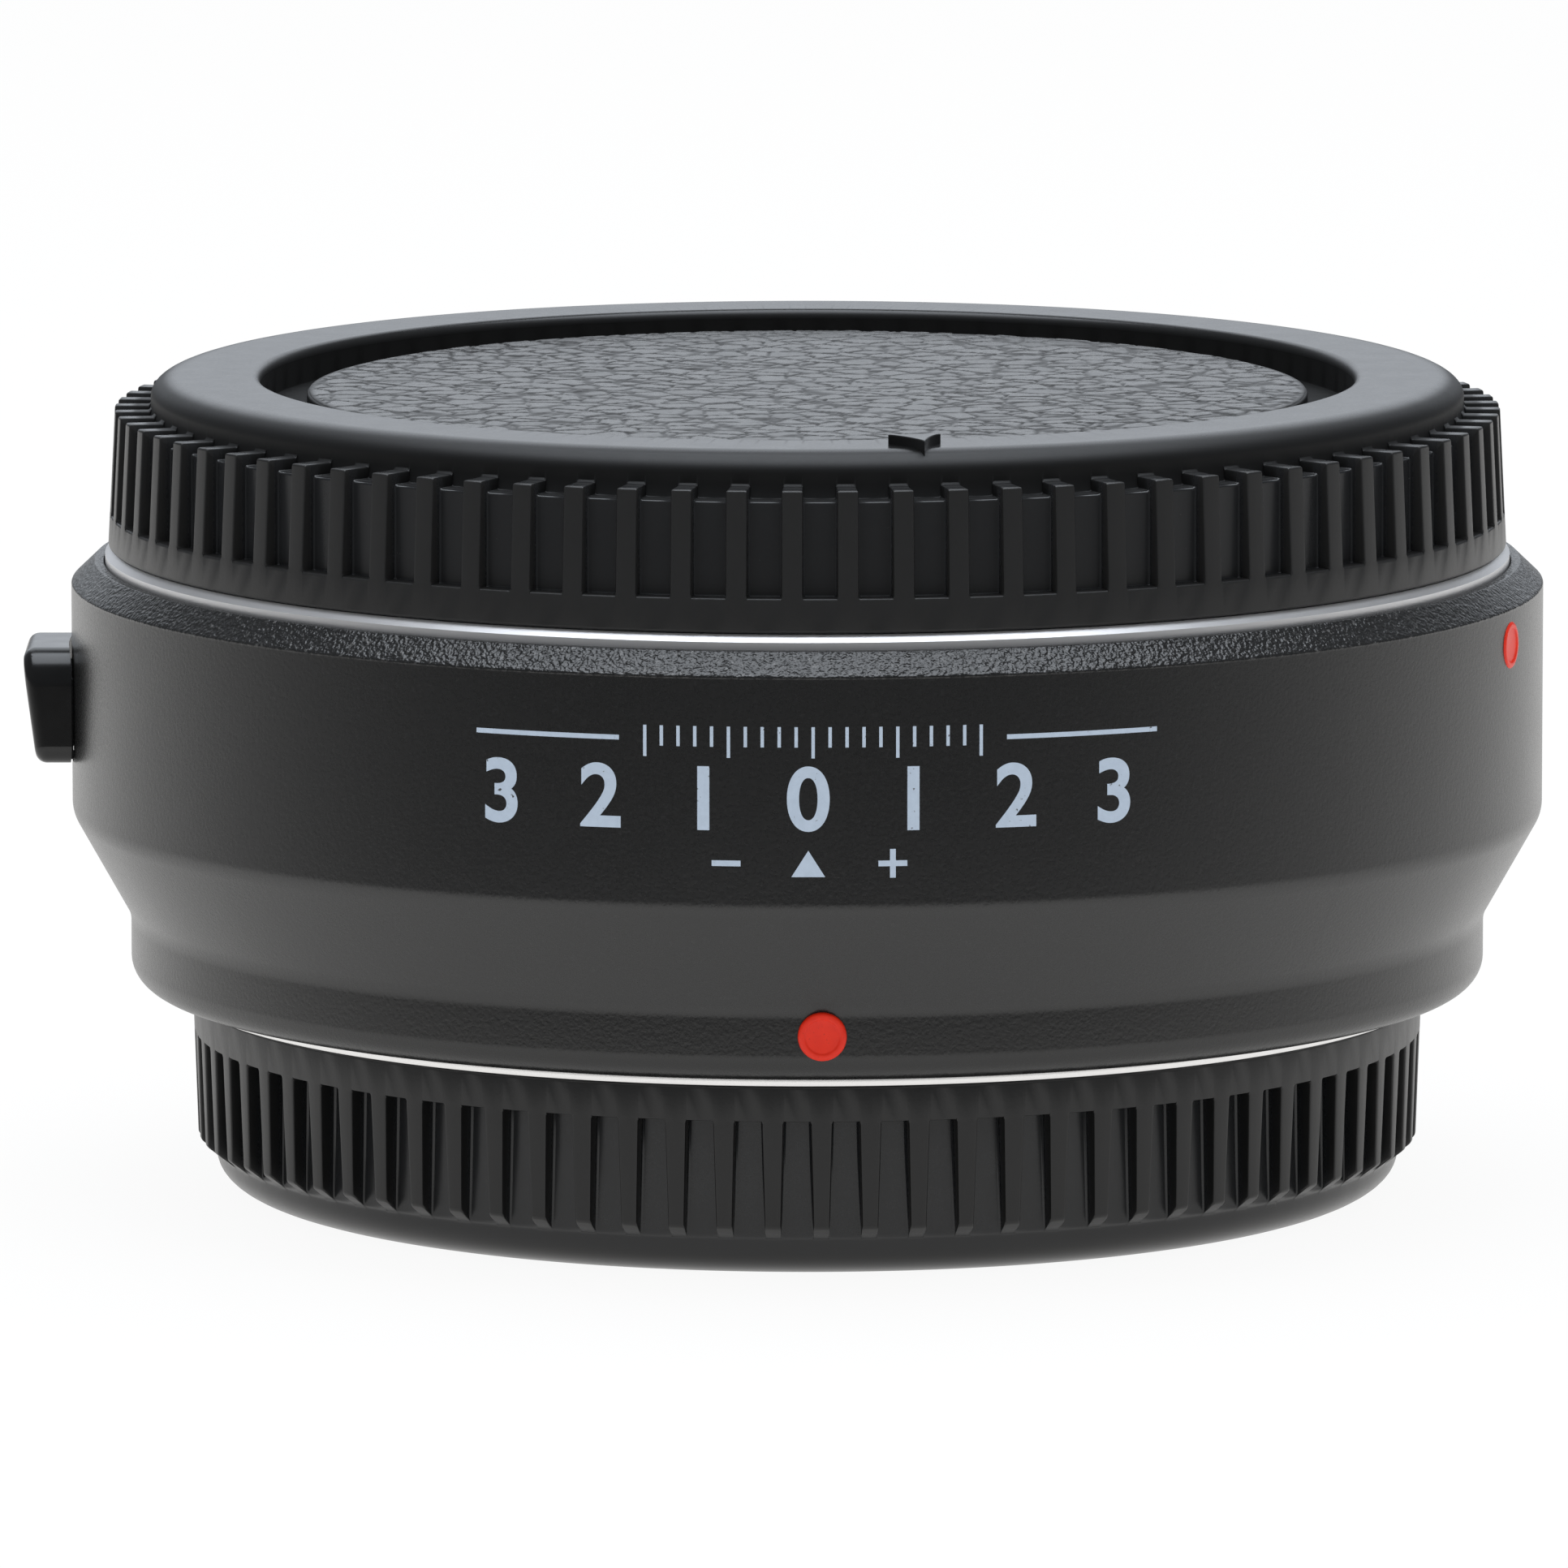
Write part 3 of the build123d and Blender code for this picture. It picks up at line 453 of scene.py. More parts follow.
def leather_plastic(nodes):
    """Grained disc: matt in the creases and painted darker there as painted shade, with a fine tooth on the
    islands.
    """
    place = nodes.place()
    tooth = nodes.grain(place, 0.12, 3.0, 0.6)
    x, y, z = nodes.parts_of(place)
    island = nodes.ramp(z, cap_disc + GRAIN_BASE, cap_disc + GRAIN_BASE + GRAIN_DEPTH)
    # Painted shade: the low creases are painted darker than the raised islands.
    return {"Base Color": nodes.blend(island, grey(0.010), grey(0.026)),
            "Roughness": 0.40 - island * 0.18 + tooth * 0.08,
            "Normal": nodes.bump(tooth, 0.012, 0.4)}


def lever_plastic(nodes):
    """Semi-gloss black moulding, faintly mottled."""
    place = nodes.place()
    smear = nodes.grain(place, 0.9, 3.0)
    tooth = nodes.grain(place, 0.2, 2.0)
    return {"Base Color": nodes.blend(smear, grey(0.005), grey(0.009)),
            "Roughness": 0.17 + smear * 0.08,
            "Normal": nodes.bump(tooth, 0.004, 0.3)}


def ring_metal(nodes, shade, rough, metallic=1.0):
    """Turned metal: fine tool lines round the axis over a soft variation."""
    place = nodes.place()
    x, y, z = nodes.parts_of(place)
    along = (x * x + y * y) ** 0.5 + z * 0.9
    lines = nodes.node("ShaderNodeTexNoise", {"noise_dimensions": "1D"},
                       {"W": along, "Scale": 26.0, "Detail": 3.0, "Roughness": 0.6})
    drift = nodes.grain(place, 3.0)
    return {"Base Color": nodes.blend(lines, tuple(c * 0.86 for c in shade[:3]) + (1.0,), shade),
            "Metallic": metallic,
            "Roughness": rough + lines * 0.10 + drift * 0.06,
            "Normal": nodes.bump(lines, 0.004, 0.4)}


def satin_chrome(nodes):
    return ring_metal(nodes, (0.93, 0.93, 0.94, 1.0), 0.30, 0.8)


def polished_chrome(nodes):
    return ring_metal(nodes, (0.94, 0.93, 0.92, 1.0), 0.08, 0.9)


def bright_steel(nodes):
    return ring_metal(nodes, (0.62, 0.62, 0.63, 1.0), 0.22)


def spring_steel(nodes):
    return ring_metal(nodes, (0.50, 0.50, 0.52, 1.0), 0.26)


def contact_gold(nodes):
    return ring_metal(nodes, (0.88, 0.64, 0.27, 1.0), 0.16)


def frame_plastic(nodes):
    """Matt black moulding of the inner frame, which soaks up stray light."""
    place = nodes.place()
    tooth = nodes.grain(place, 0.15, 3.0)
    return {"Base Color": nodes.blend(tooth, grey(0.008), grey(0.016)),
            "Roughness": 0.55 + tooth * 0.15,
            "Normal": nodes.bump(tooth, 0.012, 0.5)}


def solder_mask(nodes):
    """Green lacquer with copper tracks that show under it as a lighter green."""
    place = nodes.place()
    tracks = nodes.ramp(nodes.cells(place, 1.1, "DISTANCE_TO_EDGE"), 0.02, 0.09)
    drift = nodes.grain(place, 2.0)
    return {"Base Color": nodes.blend(tracks, (0.05, 0.24, 0.10, 1.0), (0.012, 0.13, 0.05, 1.0)),
            "Roughness": 0.22 + drift * 0.1,
            "Normal": nodes.bump(1 - tracks, 0.02, 0.5)}


def chip_epoxy(nodes):
    place = nodes.place()
    tooth = nodes.grain(place, 0.09, 2.0)
    return {"Base Color": nodes.blend(tooth, grey(0.010), grey(0.024)),
            "Roughness": 0.5 + tooth * 0.2,
            "Normal": nodes.bump(tooth, 0.01, 0.5)}


def amber_film(nodes):
    """Polyimide cable with its conductors showing as darker lines."""
    place = nodes.place()
    x, y, z = nodes.parts_of(place)
    lines = nodes.ramp(nodes.maths("SINE", x * 12.0), 0.2, 0.6)
    return {"Base Color": nodes.blend(lines, (0.52, 0.22, 0.035, 1.0), (0.36, 0.15, 0.03, 1.0)),
            "Roughness": 0.3 + lines * 0.1,
            "Normal": nodes.bump(lines, 0.01, 0.4)}


def red_enamel(nodes):
    """Glossy red plug, faintly clouded, with a few darker specks."""
    place = nodes.place()
    cloud = nodes.grain(place, 0.5, 3.0)
    speck = nodes.ramp(nodes.grain(place, 0.12, 2.0), 0.66, 0.74)
    shade = nodes.blend(cloud, (0.72, 0.017, 0.004, 1.0), (0.90, 0.034, 0.007, 1.0))
    return {"Base Color": nodes.blend(speck * 0.35, shade, (0.30, 0.012, 0.006, 1.0)),
            "Roughness": 0.30 + cloud * 0.1,
            "Specular IOR Level": 0.35,
            "Normal": nodes.bump(cloud, 0.01, 0.3)}


def print_paint(nodes):
    """Pale screen print, with pinholes and slightly uneven cover."""
    place = nodes.place()
    cover = nodes.grain(place, 0.35, 4.0, 0.65)
    pinhole = nodes.ramp(nodes.grain(place, 0.22, 2.0), 0.68, 0.76)
    shade = nodes.blend(cover, (0.42, 0.50, 0.60, 1.0), (0.55, 0.64, 0.75, 1.0))
    return {"Base Color": nodes.blend(pinhole, shade, grey(0.05)),
            "Roughness": 0.55 + cover * 0.1,
            "Normal": nodes.bump(cover, 0.006, 0.4)}


FINISH_OF_SLOT = {
    "black_barrel": finish("barrel_paint", barrel_paint),
    "black_frame": finish("frame_plastic", frame_plastic),
    "chrome_ring": finish("satin_chrome", satin_chrome),
    "spring_steel": finish("spring_steel", spring_steel),
    "screw_steel": finish("bright_steel", bright_steel),
    "contact_gold": finish("contact_gold", contact_gold),
    "board_green": finish("solder_mask", solder_mask),
    "chip_black": finish("chip_epoxy", chip_epoxy),
    "flex_amber": finish("amber_film", amber_film),
    "index_red": finish("red_enamel", red_enamel),
    "lever_black": finish("lever_plastic", lever_plastic),
    "cap_black": finish("body_cap_plastic", body_cap_plastic),
}
REAR_CAP_SHADED_FINISH = finish("rear_cap_plastic", rear_cap_plastic)
EDGE_FINISH = finish("polished_chrome", polished_chrome)
MOAT_SHADE_FINISH = finish("moat_plastic", moat_plastic)
GRAIN_FINISH = finish("leather_plastic", leather_plastic)
PRINT_FINISH = finish("print_paint", print_paint)


def dress_cad_nodes():
    """Gives every CAD node the finish of its slot in the record."""
    for row in frame["record"]["subparts"]:
        node = frame["nodes"][row["node"]]
        node.data.materials.clear()
        node.data.materials.append(FINISH_OF_SLOT[row["material_slot"]])


def mix(low, high, share):
    return low + (high - low) * share


def smooth_step(value, low, high):
    share = min(max((value - low) / (high - low), 0.0), 1.0)
    return share * share * (3 - 2 * share)


def rounded(before, corner, after, radius, steps):
    """Points of the arc that rounds a corner of an outline."""
    to_before = before - corner
    to_after = after - corner
    reach = min(to_before.length, to_after.length)
    if reach < 1e-6:
        return [corner] * (steps + 1)
    half = to_before.angle(to_after) / 2
    if math.pi / 2 - half < 1e-3:
        return [corner] * (steps + 1)
    run = min(radius / math.tan(half), 0.95 * reach)
    middle = corner + (to_before.normalized() + to_after.normalized()).normalized() * run / math.cos(half)
    first = corner + to_before.normalized() * run - middle
    last = corner + to_after.normalized() * run - middle
    start = math.atan2(first.y, first.x)
    turn = (math.atan2(last.y, last.x) - start + math.pi) % (2 * math.pi) - math.pi
    angles = [start + turn * k / steps for k in range(steps + 1)]
    return [middle + first.length * Vector((math.cos(angle), math.sin(angle))) for angle in angles]


def outline(corners):
    """Closed (r, z) outline through corners, each (r, z) or (r, z, radius, steps) for a rounded one."""
    spots = [Vector(corner[:2]) for corner in corners]
    points = []
    for k, corner in enumerate(corners):
        if len(corner) == 2:
            points.append(spots[k])
        else:
            points += rounded(spots[k - 1], spots[k], spots[(k + 1) % len(spots)], *corner[2:])
    return points


def quarter(radius, z, width, height, steps=12):
    """Points of a quarter ellipse that rounds a rim at (radius, z), from the wall to the flat face."""
    turns = [math.pi / 2 * k / steps for k in range(steps + 1)]
    return [(radius - width * (1 - math.cos(turn)), z - height * (1 - math.sin(turn))) for turn in turns]


def new_piece(name, mesh, material, body):
    """Object of the scene that rides on a CAD body."""
    piece = bpy.data.objects.new(name, mesh)
    bpy.context.scene.collection.objects.link(piece)
    mesh.materials.append(material)
    mesh.shade_smooth()
    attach(piece, body)
    return piece


def soften(piece):
    """Keeps flat faces flat beside their narrow rounded edges."""
    piece.data.set_sharp_from_angle(angle=math.radians(SHARP_ANGLE))
    shading = piece.modifiers.new("even_shading", "WEIGHTED_NORMAL")
    shading.keep_sharp = True


def turned_mesh(name, columns, window=None):
    """Mesh from columns of (r, angle, z) points that go once round the axis.

    window, where there is one, is (columns, outer row, inner row): a hole through the wall there.
    """
    rows = len(columns[0])
    spots = []
    for column in columns:
        for radius, angle, z in column:
            turn = math.radians(angle)
            spots.append((radius * math.cos(turn) * MM, radius * math.sin(turn) * MM, z * MM))
    cut, outer, inner = window or ((), None, None)
    faces = []
    for j in range(len(columns)):
        here, there = j * rows, (j + 1) % len(columns) * rows
        for i in range(rows):
            if j in cut and i in (outer, inner):
                continue
            above = (i + 1) % rows
            faces.append((here + i, there + i, there + above, here + above))
        if j in cut:
            faces.append((here + outer, there + outer, there + inner + 1, here + inner + 1))
            faces.append((here + outer + 1, there + outer + 1, there + inner, here + inner))
    if cut:
        for j in (cut[0], cut[-1] + 1):
            side = j % len(columns) * rows
            faces.append((side + outer, side + outer + 1, side + inner, side + inner + 1))
    mesh = bpy.data.meshes.new(name)
    mesh.from_pydata(spots, [], faces)
    work = bmesh.new()
    work.from_mesh(mesh)
    bmesh.ops.remove_doubles(work, verts=work.verts, dist=1e-4 * MM)
    bmesh.ops.recalc_face_normals(work, faces=work.faces)
    work.to_mesh(mesh)
    work.free()
    return mesh


# Across a rib's edge, as distances into the rib and how far up its side each lies
RIB_EDGE = ((0.11, 1.0), (0.035, 0.965), (0.0, 0.87), (-0.012, 0.10), (-0.09, 0.0))


def ribbed_columns(radius, groove_half):
    """(angle from the groove's middle, share of the rib's height) across one groove and rib, in order.

    groove_half gives half the groove's width.
    """
    per_mm = 180 / math.pi / radius
    rising = [((groove_half + into) * per_mm, share) for into, share in reversed(RIB_EDGE)]
    falling = [(-angle, share) for angle, share in reversed(rising)]
    return falling + [(0.0, 0.0)] + rising + [(RIB_PITCH / 2, 1.0)]


def on_lug(angle, width):
    """Whether an angle lies on one of the bayonet's lugs."""
    pitch = 360 / LUG_COUNT
    off = (angle - LUG_FIRST_ANGLE + pitch / 2) % pitch - pitch / 2
    return abs(off) < width / 2


def body_cap_column(angle, share):
    """Section of the body cap; share is 0 in a groove and 1 on a rib."""
    def face_r(z):
        return cap_r - CAP_DRAFT * (z - cap_edge) / CAP_RIB_H

    band_z = cap_band_top + BAND_SLOPE * share
    top_z = mix(cap_ledge, cap_rib_top, share)
    skirt_in = cap_groove_r - CAP_SKIRT_WALL
    neck_in = cap_neck_r - CAP_WALL
    moat = cap_disc - MOAT_DEPTH
    moat_wall_r = rim_inner_r + CAP_WALL
    tube_in = CAP_TUBE_R - CAP_TUBE_WALL
    tube_low = level_of("body_cap", 0)
    lug_r = CAP_LUG_R if on_lug(angle, CAP_LUG_ANGLE) else CAP_TUBE_R
    rim = quarter(cap_neck_r, cap_rim, RIM_ROUND_W, RIM_ROUND_H)
    points = outline([
        (cap_r, cap_edge, *CAP_EDGE),
        (face_r(cap_band_top), cap_band_top, *CAP_EDGE),
        (mix(cap_groove_r, face_r(band_z), share), band_z, *BAND_EDGE),
        (mix(cap_groove_r, face_r(cap_rib_top), share), top_z, *RIB_END),
        (cap_neck_r + CAP_NECK_STEP, top_z, *BAND_EDGE),
        (cap_neck_r, cap_rib_top + CAP_NECK_STEP),
        *rim, (rim_inner_r, cap_rim, RIM_INNER_ROUND, RIM_INNER_STEPS),
        (rim_inner_r, moat, *INNER_CORNER), (disc_r, moat, *INNER_CORNER), (disc_r, cap_disc, *DISC_EDGE),
        (0, cap_disc), (0, cap_disc - CAP_WALL), (tube_in, cap_disc - CAP_WALL), (tube_in, tube_low),
        (lug_r, tube_low), (lug_r, tube_low + CAP_LUG_T), (CAP_TUBE_R, tube_low + CAP_LUG_T),
        (CAP_TUBE_R, moat - CAP_WALL), (moat_wall_r, moat - CAP_WALL), (moat_wall_r, cap_rim - CAP_WALL),
        (neck_in, cap_rim - CAP_WALL), (neck_in, cap_ledge - CAP_WALL), (skirt_in, cap_ledge - CAP_WALL),
        (skirt_in, cap_edge)])
    return [(p.x, angle, p.y) for p in points]


def body_cap():
    """Ribbed cap over the lens side, with its bayonet inside."""
    groove_half = (2 * math.pi * cap_r / RIB_COUNT - CAP_RIB_W) / 2
    across = ribbed_columns(cap_r, groove_half)
    first = FRONT_ANGLE + CAP_RIB_ANGLE + RIB_PITCH / 2
    columns = [body_cap_column(first + RIB_PITCH * k + off, share)
               for k in range(RIB_COUNT) for off, share in across]
    cap = new_piece("body_cap_shell", turned_mesh("body_cap_shell", columns), FINISH_OF_SLOT["cap_black"],
                    "body_cap")
    cap.data.materials.append(MOAT_SHADE_FINISH)
    # The moat's faces take the moat finish: painted shade in the recess round the disc.
    for face in cap.data.polygons:
        away = face.center.xy.length / MM
        low = face.center.z / MM < cap_rim - RIM_INNER_ROUND
        if low and disc_r - MOAT_SLACK < away < rim_inner_r + MOAT_SLACK:
            face.material_index = 1
    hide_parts("body_cap")
    soften(cap)


def rear_cap_column(middle, off, share):
    """Section of the rear cap, whose ribs narrow downwards; off is the angle at the top of the ribs."""
    groove_top = rear_edge - REAR_BAND
    low_r = rear_cap_r - REAR_TUCK
    groove_r = rear_cap_r - REAR_GROOVE_DEPTH
    ring_r = REAR_RING_IN_R + REAR_RING_WALL
    ring_top = rear_edge - REAR_RING_DROP
    skirt_in = groove_r - REAR_SKIRT_WALL
    lug_r = REAR_LUG_R if on_lug(middle + off, REAR_LUG_ANGLE) else REAR_RING_IN_R
    widen = (REAR_RIB_TOP_W - REAR_RIB_LOW_W) / 2 * 180 / math.pi / rear_cap_r

    def face_r(z):
        return rear_cap_r - REAR_DRAFT * (rear_edge - z) / (rear_edge - REAR_RIB_LOW)

    def angle_at(z):
        down = min(max((groove_top - z) / (groove_top - REAR_STEP), 0.0), 1.0)
        on_edge = abs(off) if share < 1.0 else max(RIB_PITCH / 2 - abs(off), 0.0)
        sway = min(on_edge * RIB_SWAY_SHARE / RIB_PITCH, 1.0)
        return middle + off + math.copysign(widen * down * sway, off)

    band_z = groove_top - BAND_SLOPE * share
    rib_low = mix(REAR_STEP + REAR_GROOVE_RISE, REAR_RIB_LOW, share)
    foot = quarter(low_r, 0, REAR_ROUND_W, -REAR_ROUND_H)
    points = outline([
        (rear_cap_r, rear_edge, *CAP_EDGE),
        (face_r(groove_top), groove_top, *REAR_BAND_EDGE),
        (mix(groove_r, face_r(band_z), share), band_z, *BAND_EDGE),
        (mix(groove_r, face_r(REAR_RIB_LOW), share), rib_low, *REAR_RIB_END),
        (low_r + REAR_STEP_W, REAR_STEP, *REAR_STEP_EDGE), *foot,
        (REAR_RECESS_R, 0, *RECESS_EDGE), (REAR_RECESS_R, REAR_RECESS_H, *INNER_CORNER),
        (0, REAR_RECESS_H), (0, REAR_FLOOR), (REAR_RING_IN_R, REAR_FLOOR), (REAR_RING_IN_R, REAR_LUG_LOW),
        (lug_r, REAR_LUG_LOW), (lug_r, ring_top), (ring_r, ring_top), (ring_r, REAR_FLOOR),
        (skirt_in, REAR_FLOOR), (skirt_in, rear_edge)])
    return [(p.x, angle_at(p.y), p.y) for p in points]


def rear_cap():
    """Ribbed cap over the camera side, on which the adapter stands."""
    groove_half = (2 * math.pi * rear_cap_r / RIB_COUNT - REAR_RIB_TOP_W) / 2
    across = ribbed_columns(rear_cap_r, groove_half)
    first = FRONT_ANGLE + REAR_RIB_ANGLE + RIB_PITCH / 2
    columns = [rear_cap_column(first + RIB_PITCH * k, off, share)
               for k in range(RIB_COUNT) for off, share in across]
    cap = new_piece("rear_cap_shell", turned_mesh("rear_cap_shell", columns), REAR_CAP_SHADED_FINISH,
                    "rear_cap")
    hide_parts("rear_cap")
    soften(cap)


def barrel():
    """Outer barrel: foot, cone, cylinder and chamfered lip, with the release lever's slot through it."""
    foot_r = camera_ring_r + FOOT_W
    cone_low = barrel_low + FOOT_H
    cone_high = cone_low + CONE_H
    bore_r = barrel_r - BARREL_WALL
    foot_bore_r = foot_r - BARREL_WALL
    seat_r = lens_ring_r + SEAT_FIT
    socket_r = camera_ring_r + SEAT_FIT
    outer = [(socket_r, barrel_low, *SOCKET_EDGE), (foot_r, barrel_low, *FOOT_EDGE),
             (foot_r, cone_low, *CONE_EDGE), (barrel_r, cone_high, *CONE_EDGE)]
    lip = [(barrel_r, barrel_top - CHAMFER_H, *LIP_LOW_EDGE),
           (barrel_r - CHAMFER_W, barrel_top, *LIP_TOP_EDGE),
           (seat_r, barrel_top, *SEAT_EDGE), (seat_r, RING_SEAT_LOW), (bore_r, RING_SEAT_LOW)]
    inner = [(bore_r, cone_high + INNER_CONE_RISE), (foot_bore_r, cone_low + INNER_CONE_RISE),
             (foot_bore_r, FLOOR_TOP), (THROAT_R, FLOOR_TOP), (THROAT_R, SOCKET_TOP),
             (socket_r, SOCKET_TOP)]
    section = outline(outer + [(barrel_r, SLOT_LOW), (barrel_r, SLOT_TOP)] + lip
                      + [(bore_r, SLOT_TOP), (bore_r, SLOT_LOW)] + inner)
    outer_row = next(i for i, p in enumerate(section) if p == Vector((barrel_r, SLOT_LOW)))
    inner_row = next(i for i, p in enumerate(section) if p == Vector((bore_r, SLOT_TOP)))
    half_slot = math.degrees(math.asin(SLOT_W / 2 / barrel_r))
    angles = [360 / BARREL_COLUMNS * k for k in range(BARREL_COLUMNS)]
    angles = [a for a in angles if abs(abs(a - LEVER_ANGLE) - half_slot) > 180 / BARREL_COLUMNS]
    angles = sorted(angles + [LEVER_ANGLE - half_slot, LEVER_ANGLE + half_slot])
    cut = [j for j, a in enumerate(angles)
           if LEVER_ANGLE - half_slot <= a < LEVER_ANGLE + half_slot]
    columns = [[(p.x, a, p.y) for p in section] for a in angles]
    shell = new_piece("barrel_shell", turned_mesh("barrel_shell", columns, (cut, outer_row, inner_row)),
                      FINISH_OF_SLOT["black_barrel"], "adapter")
    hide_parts("outer_barrel")
    soften(shell)


def index_dot(node, barrel_radius, stands):
    """Red plug with a raised rim and a dished face, set in the barrel's wall."""
    low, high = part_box(node)
    spot = (low + high) / 2
    face_r = DOT_R - DOT_RIM_W
    section = outline([
        (0, -DOT_DEPTH), (DOT_R, -DOT_DEPTH), (DOT_R, stands, *DOT_EDGE), (face_r, stands, *DISH_EDGE),
        (face_r - DOT_DISH, stands - DOT_DISH, *DISH_EDGE), (0, stands - DOT_DISH)])
    columns = [[(p.x, 360 / DOT_COLUMNS * k, p.y) for p in section] for k in range(DOT_COLUMNS)]
    mesh = turned_mesh(node + "_plug", columns)
    outward = math.atan2(spot.y, spot.x)
    mesh.transform(Matrix.Rotation(outward, 4, "Z") @ Matrix.Translation((barrel_radius * MM, 0, spot.z))
                   @ Matrix.Rotation(math.pi / 2, 4, "Y"))
    dot = new_piece(node + "_plug", mesh, FINISH_OF_SLOT["index_red"], "adapter")
    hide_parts(node)
    soften(dot)


def camera_ring_edge():
    """Polished band round the camera ring, where it shows between the barrel and the rear cap."""
    outer_r = camera_ring_r + EDGE_STANDS
    section = outline([
        (outer_r - EDGE_W, camera_face + EDGE_GAP), (outer_r, camera_face + EDGE_GAP, *CHROME_EDGE),
        (outer_r, barrel_low - EDGE_GAP, *CHROME_EDGE), (outer_r - EDGE_W, barrel_low - EDGE_GAP)])
    columns = [[(p.x, 360 / EDGE_COLUMNS * k, p.y) for p in section] for k in range(EDGE_COLUMNS)]
    edge = new_piece("camera_ring_edge", turned_mesh("camera_ring_edge", columns), EDGE_FINISH,
                     "adapter")
    soften(edge)


def lever_pad():
    """Thin dark curved pad on the lever's back, sliding over the barrel: painted shade that fills the gap
    behind the lever.
    """
    half = math.degrees(PAD_W / 2 / barrel_r)
    section = [(barrel_r + PAD_IN, PAD_LOW), (barrel_r + PAD_OUT, PAD_LOW), (barrel_r + PAD_OUT, PAD_TOP),
               (barrel_r + PAD_IN, PAD_TOP)]
    rows = len(section)
    spots, faces = [], []
    for k in range(PAD_COLUMNS + 1):
        turn = math.radians(mix(LEVER_ANGLE - half, LEVER_ANGLE + half, k / PAD_COLUMNS))
        spots += [(r * math.cos(turn) * MM, r * math.sin(turn) * MM, z * MM) for r, z in section]
        if k:
            here, last = rows * k, rows * (k - 1)
            faces += [(last + i, here + i, here + (i + 1) % rows, last + (i + 1) % rows)
                      for i in range(rows)]
    faces += [tuple(range(rows)), tuple(reversed(range(rows * PAD_COLUMNS, len(spots))))]
    mesh = bpy.data.meshes.new("lever_pad")
    mesh.from_pydata(spots, [], faces)
    mesh.update()
    pad = new_piece("lever_pad", mesh, FINISH_OF_SLOT["black_frame"], "release")
    pad.data.set_sharp_from_angle(angle=math.radians(SHARP_ANGLE))


def cap_mark():
    """Raised arrow head on the body cap's rim, with hollow sides."""
    tip = Vector((cap_neck_r - MARK_INSET, 0))
    points = []
    for side in (-1, 1):
        corner = Vector((tip.x - MARK_LENGTH, side * MARK_W / 2))
        waist = (corner + tip) / 2 - Vector((MARK_HOLLOW, side * MARK_HOLLOW))
        curve = [corner * (1 - t) ** 2 + (2 * waist - (corner + tip) / 2) * 2 * t * (1 - t) + tip * t * t
                 for t in (k / MARK_CURVE_STEPS for k in range(MARK_CURVE_STEPS + 1))]
        points += curve if side < 0 else curve[-2::-1]
    work = bmesh.new()
    base = [work.verts.new((p.x * MM, p.y * MM, (cap_rim - MARK_SINK) * MM)) for p in points]
    lower = work.faces.new(base)
    raised = bmesh.ops.extrude_face_region(work, geom=[lower])["geom"]
    lifted = [v for v in raised if isinstance(v, bmesh.types.BMVert)]
    bmesh.ops.translate(work, verts=lifted, vec=(0, 0, (MARK_SINK + MARK_STANDS) * MM))
    bmesh.ops.recalc_face_normals(work, faces=work.faces)
    mesh = bpy.data.meshes.new("cap_index_mark")
    work.to_mesh(mesh)
    work.free()
    mesh.transform(Matrix.Rotation(math.radians(FRONT_ANGLE + MARK_ANGLE), 4, "Z"))
    mark = new_piece("cap_index_mark", mesh, FINISH_OF_SLOT["cap_black"], "body_cap")
    edge = mark.modifiers.new("edge", "BEVEL")
    edge.width = MARK_BEVEL * MM
    edge.segments = 2
    edge.limit_method = "ANGLE"
    edge.angle_limit = math.radians(MARK_BEVEL_ANGLE)
    soften(mark)


def grain_height(x, y):
    """Level of the leather grain above the disc: islands of unequal height, with creases between."""
    spot = Vector((x, y, 0.0))
    spot += GRAIN_WARP * noise.noise_vector(spot * GRAIN_WARP_RATE)
    near, cores = noise.voronoi(spot / GRAIN_ISLAND)
    crease = smooth_step(near[1] - near[0], *GRAIN_CREASE)
    lift = GRAIN_LIFT + GRAIN_LIFT_SPREAD * noise.noise(cores[0] * GRAIN_LIFT_RATE)
    splits = noise.voronoi(spot / GRAIN_SPLIT + GRAIN_SPLIT_SHIFT)[0]
    fold = smooth_step(splits[1] - splits[0], *GRAIN_FOLD)
    edge = smooth_step(disc_r - GRAIN_INSET - math.hypot(x, y), 0.0, GRAIN_EDGE_W)
    return GRAIN_BASE + GRAIN_DEPTH * edge * crease * lift * mix(GRAIN_FOLD_LEVEL, 1.0, fold)


def grain_disc():
    """Leather-grained face of the body cap, modelled in relief on a round grid."""
    noise.seed_set(GRAIN_SEED)
    count = GRAIN_CELLS
    spots = []
    for i in range(count + 1):
        for j in range(count + 1):
            u, v = 2 * i / count - 1, 2 * j / count - 1
            x = (disc_r - GRAIN_INSET) * u * math.sqrt(1 - v * v / 2)
            y = (disc_r - GRAIN_INSET) * v * math.sqrt(1 - u * u / 2)
            spots.append((x * MM, y * MM, (cap_disc + grain_height(x, y)) * MM))
    across = count + 1
    faces = [(i * across + j, (i + 1) * across + j, (i + 1) * across + j + 1, i * across + j + 1)
             for i in range(count) for j in range(count)]
    border = ([i * across for i in range(count)] + [count * across + j for j in range(count)]
              + [i * across + count for i in range(count, 0, -1)] + [j for j in range(count, 0, -1)])
    sunk = len(spots)
    spots += [(spots[k][0], spots[k][1], (cap_disc - GRAIN_SINK) * MM) for k in border]
    for k in range(len(border)):
        after = (k + 1) % len(border)
        faces.append((border[after], border[k], sunk + k, sunk + after))
    faces.append(tuple(range(sunk + len(border) - 1, sunk - 1, -1)))
    mesh = bpy.data.meshes.new("cap_grain_disc")
    mesh.from_pydata(spots, [], faces)
    mesh.update()
    new_piece("cap_grain_disc", mesh, GRAIN_FINISH, "body_cap")


def bar(x_low, x_high, z_low, z_high):
    """Flat rectangle of print, as (x, z) corners."""
    return [(x_low, z_low), (x_high, z_low), (x_high, z_high), (x_low, z_high)]


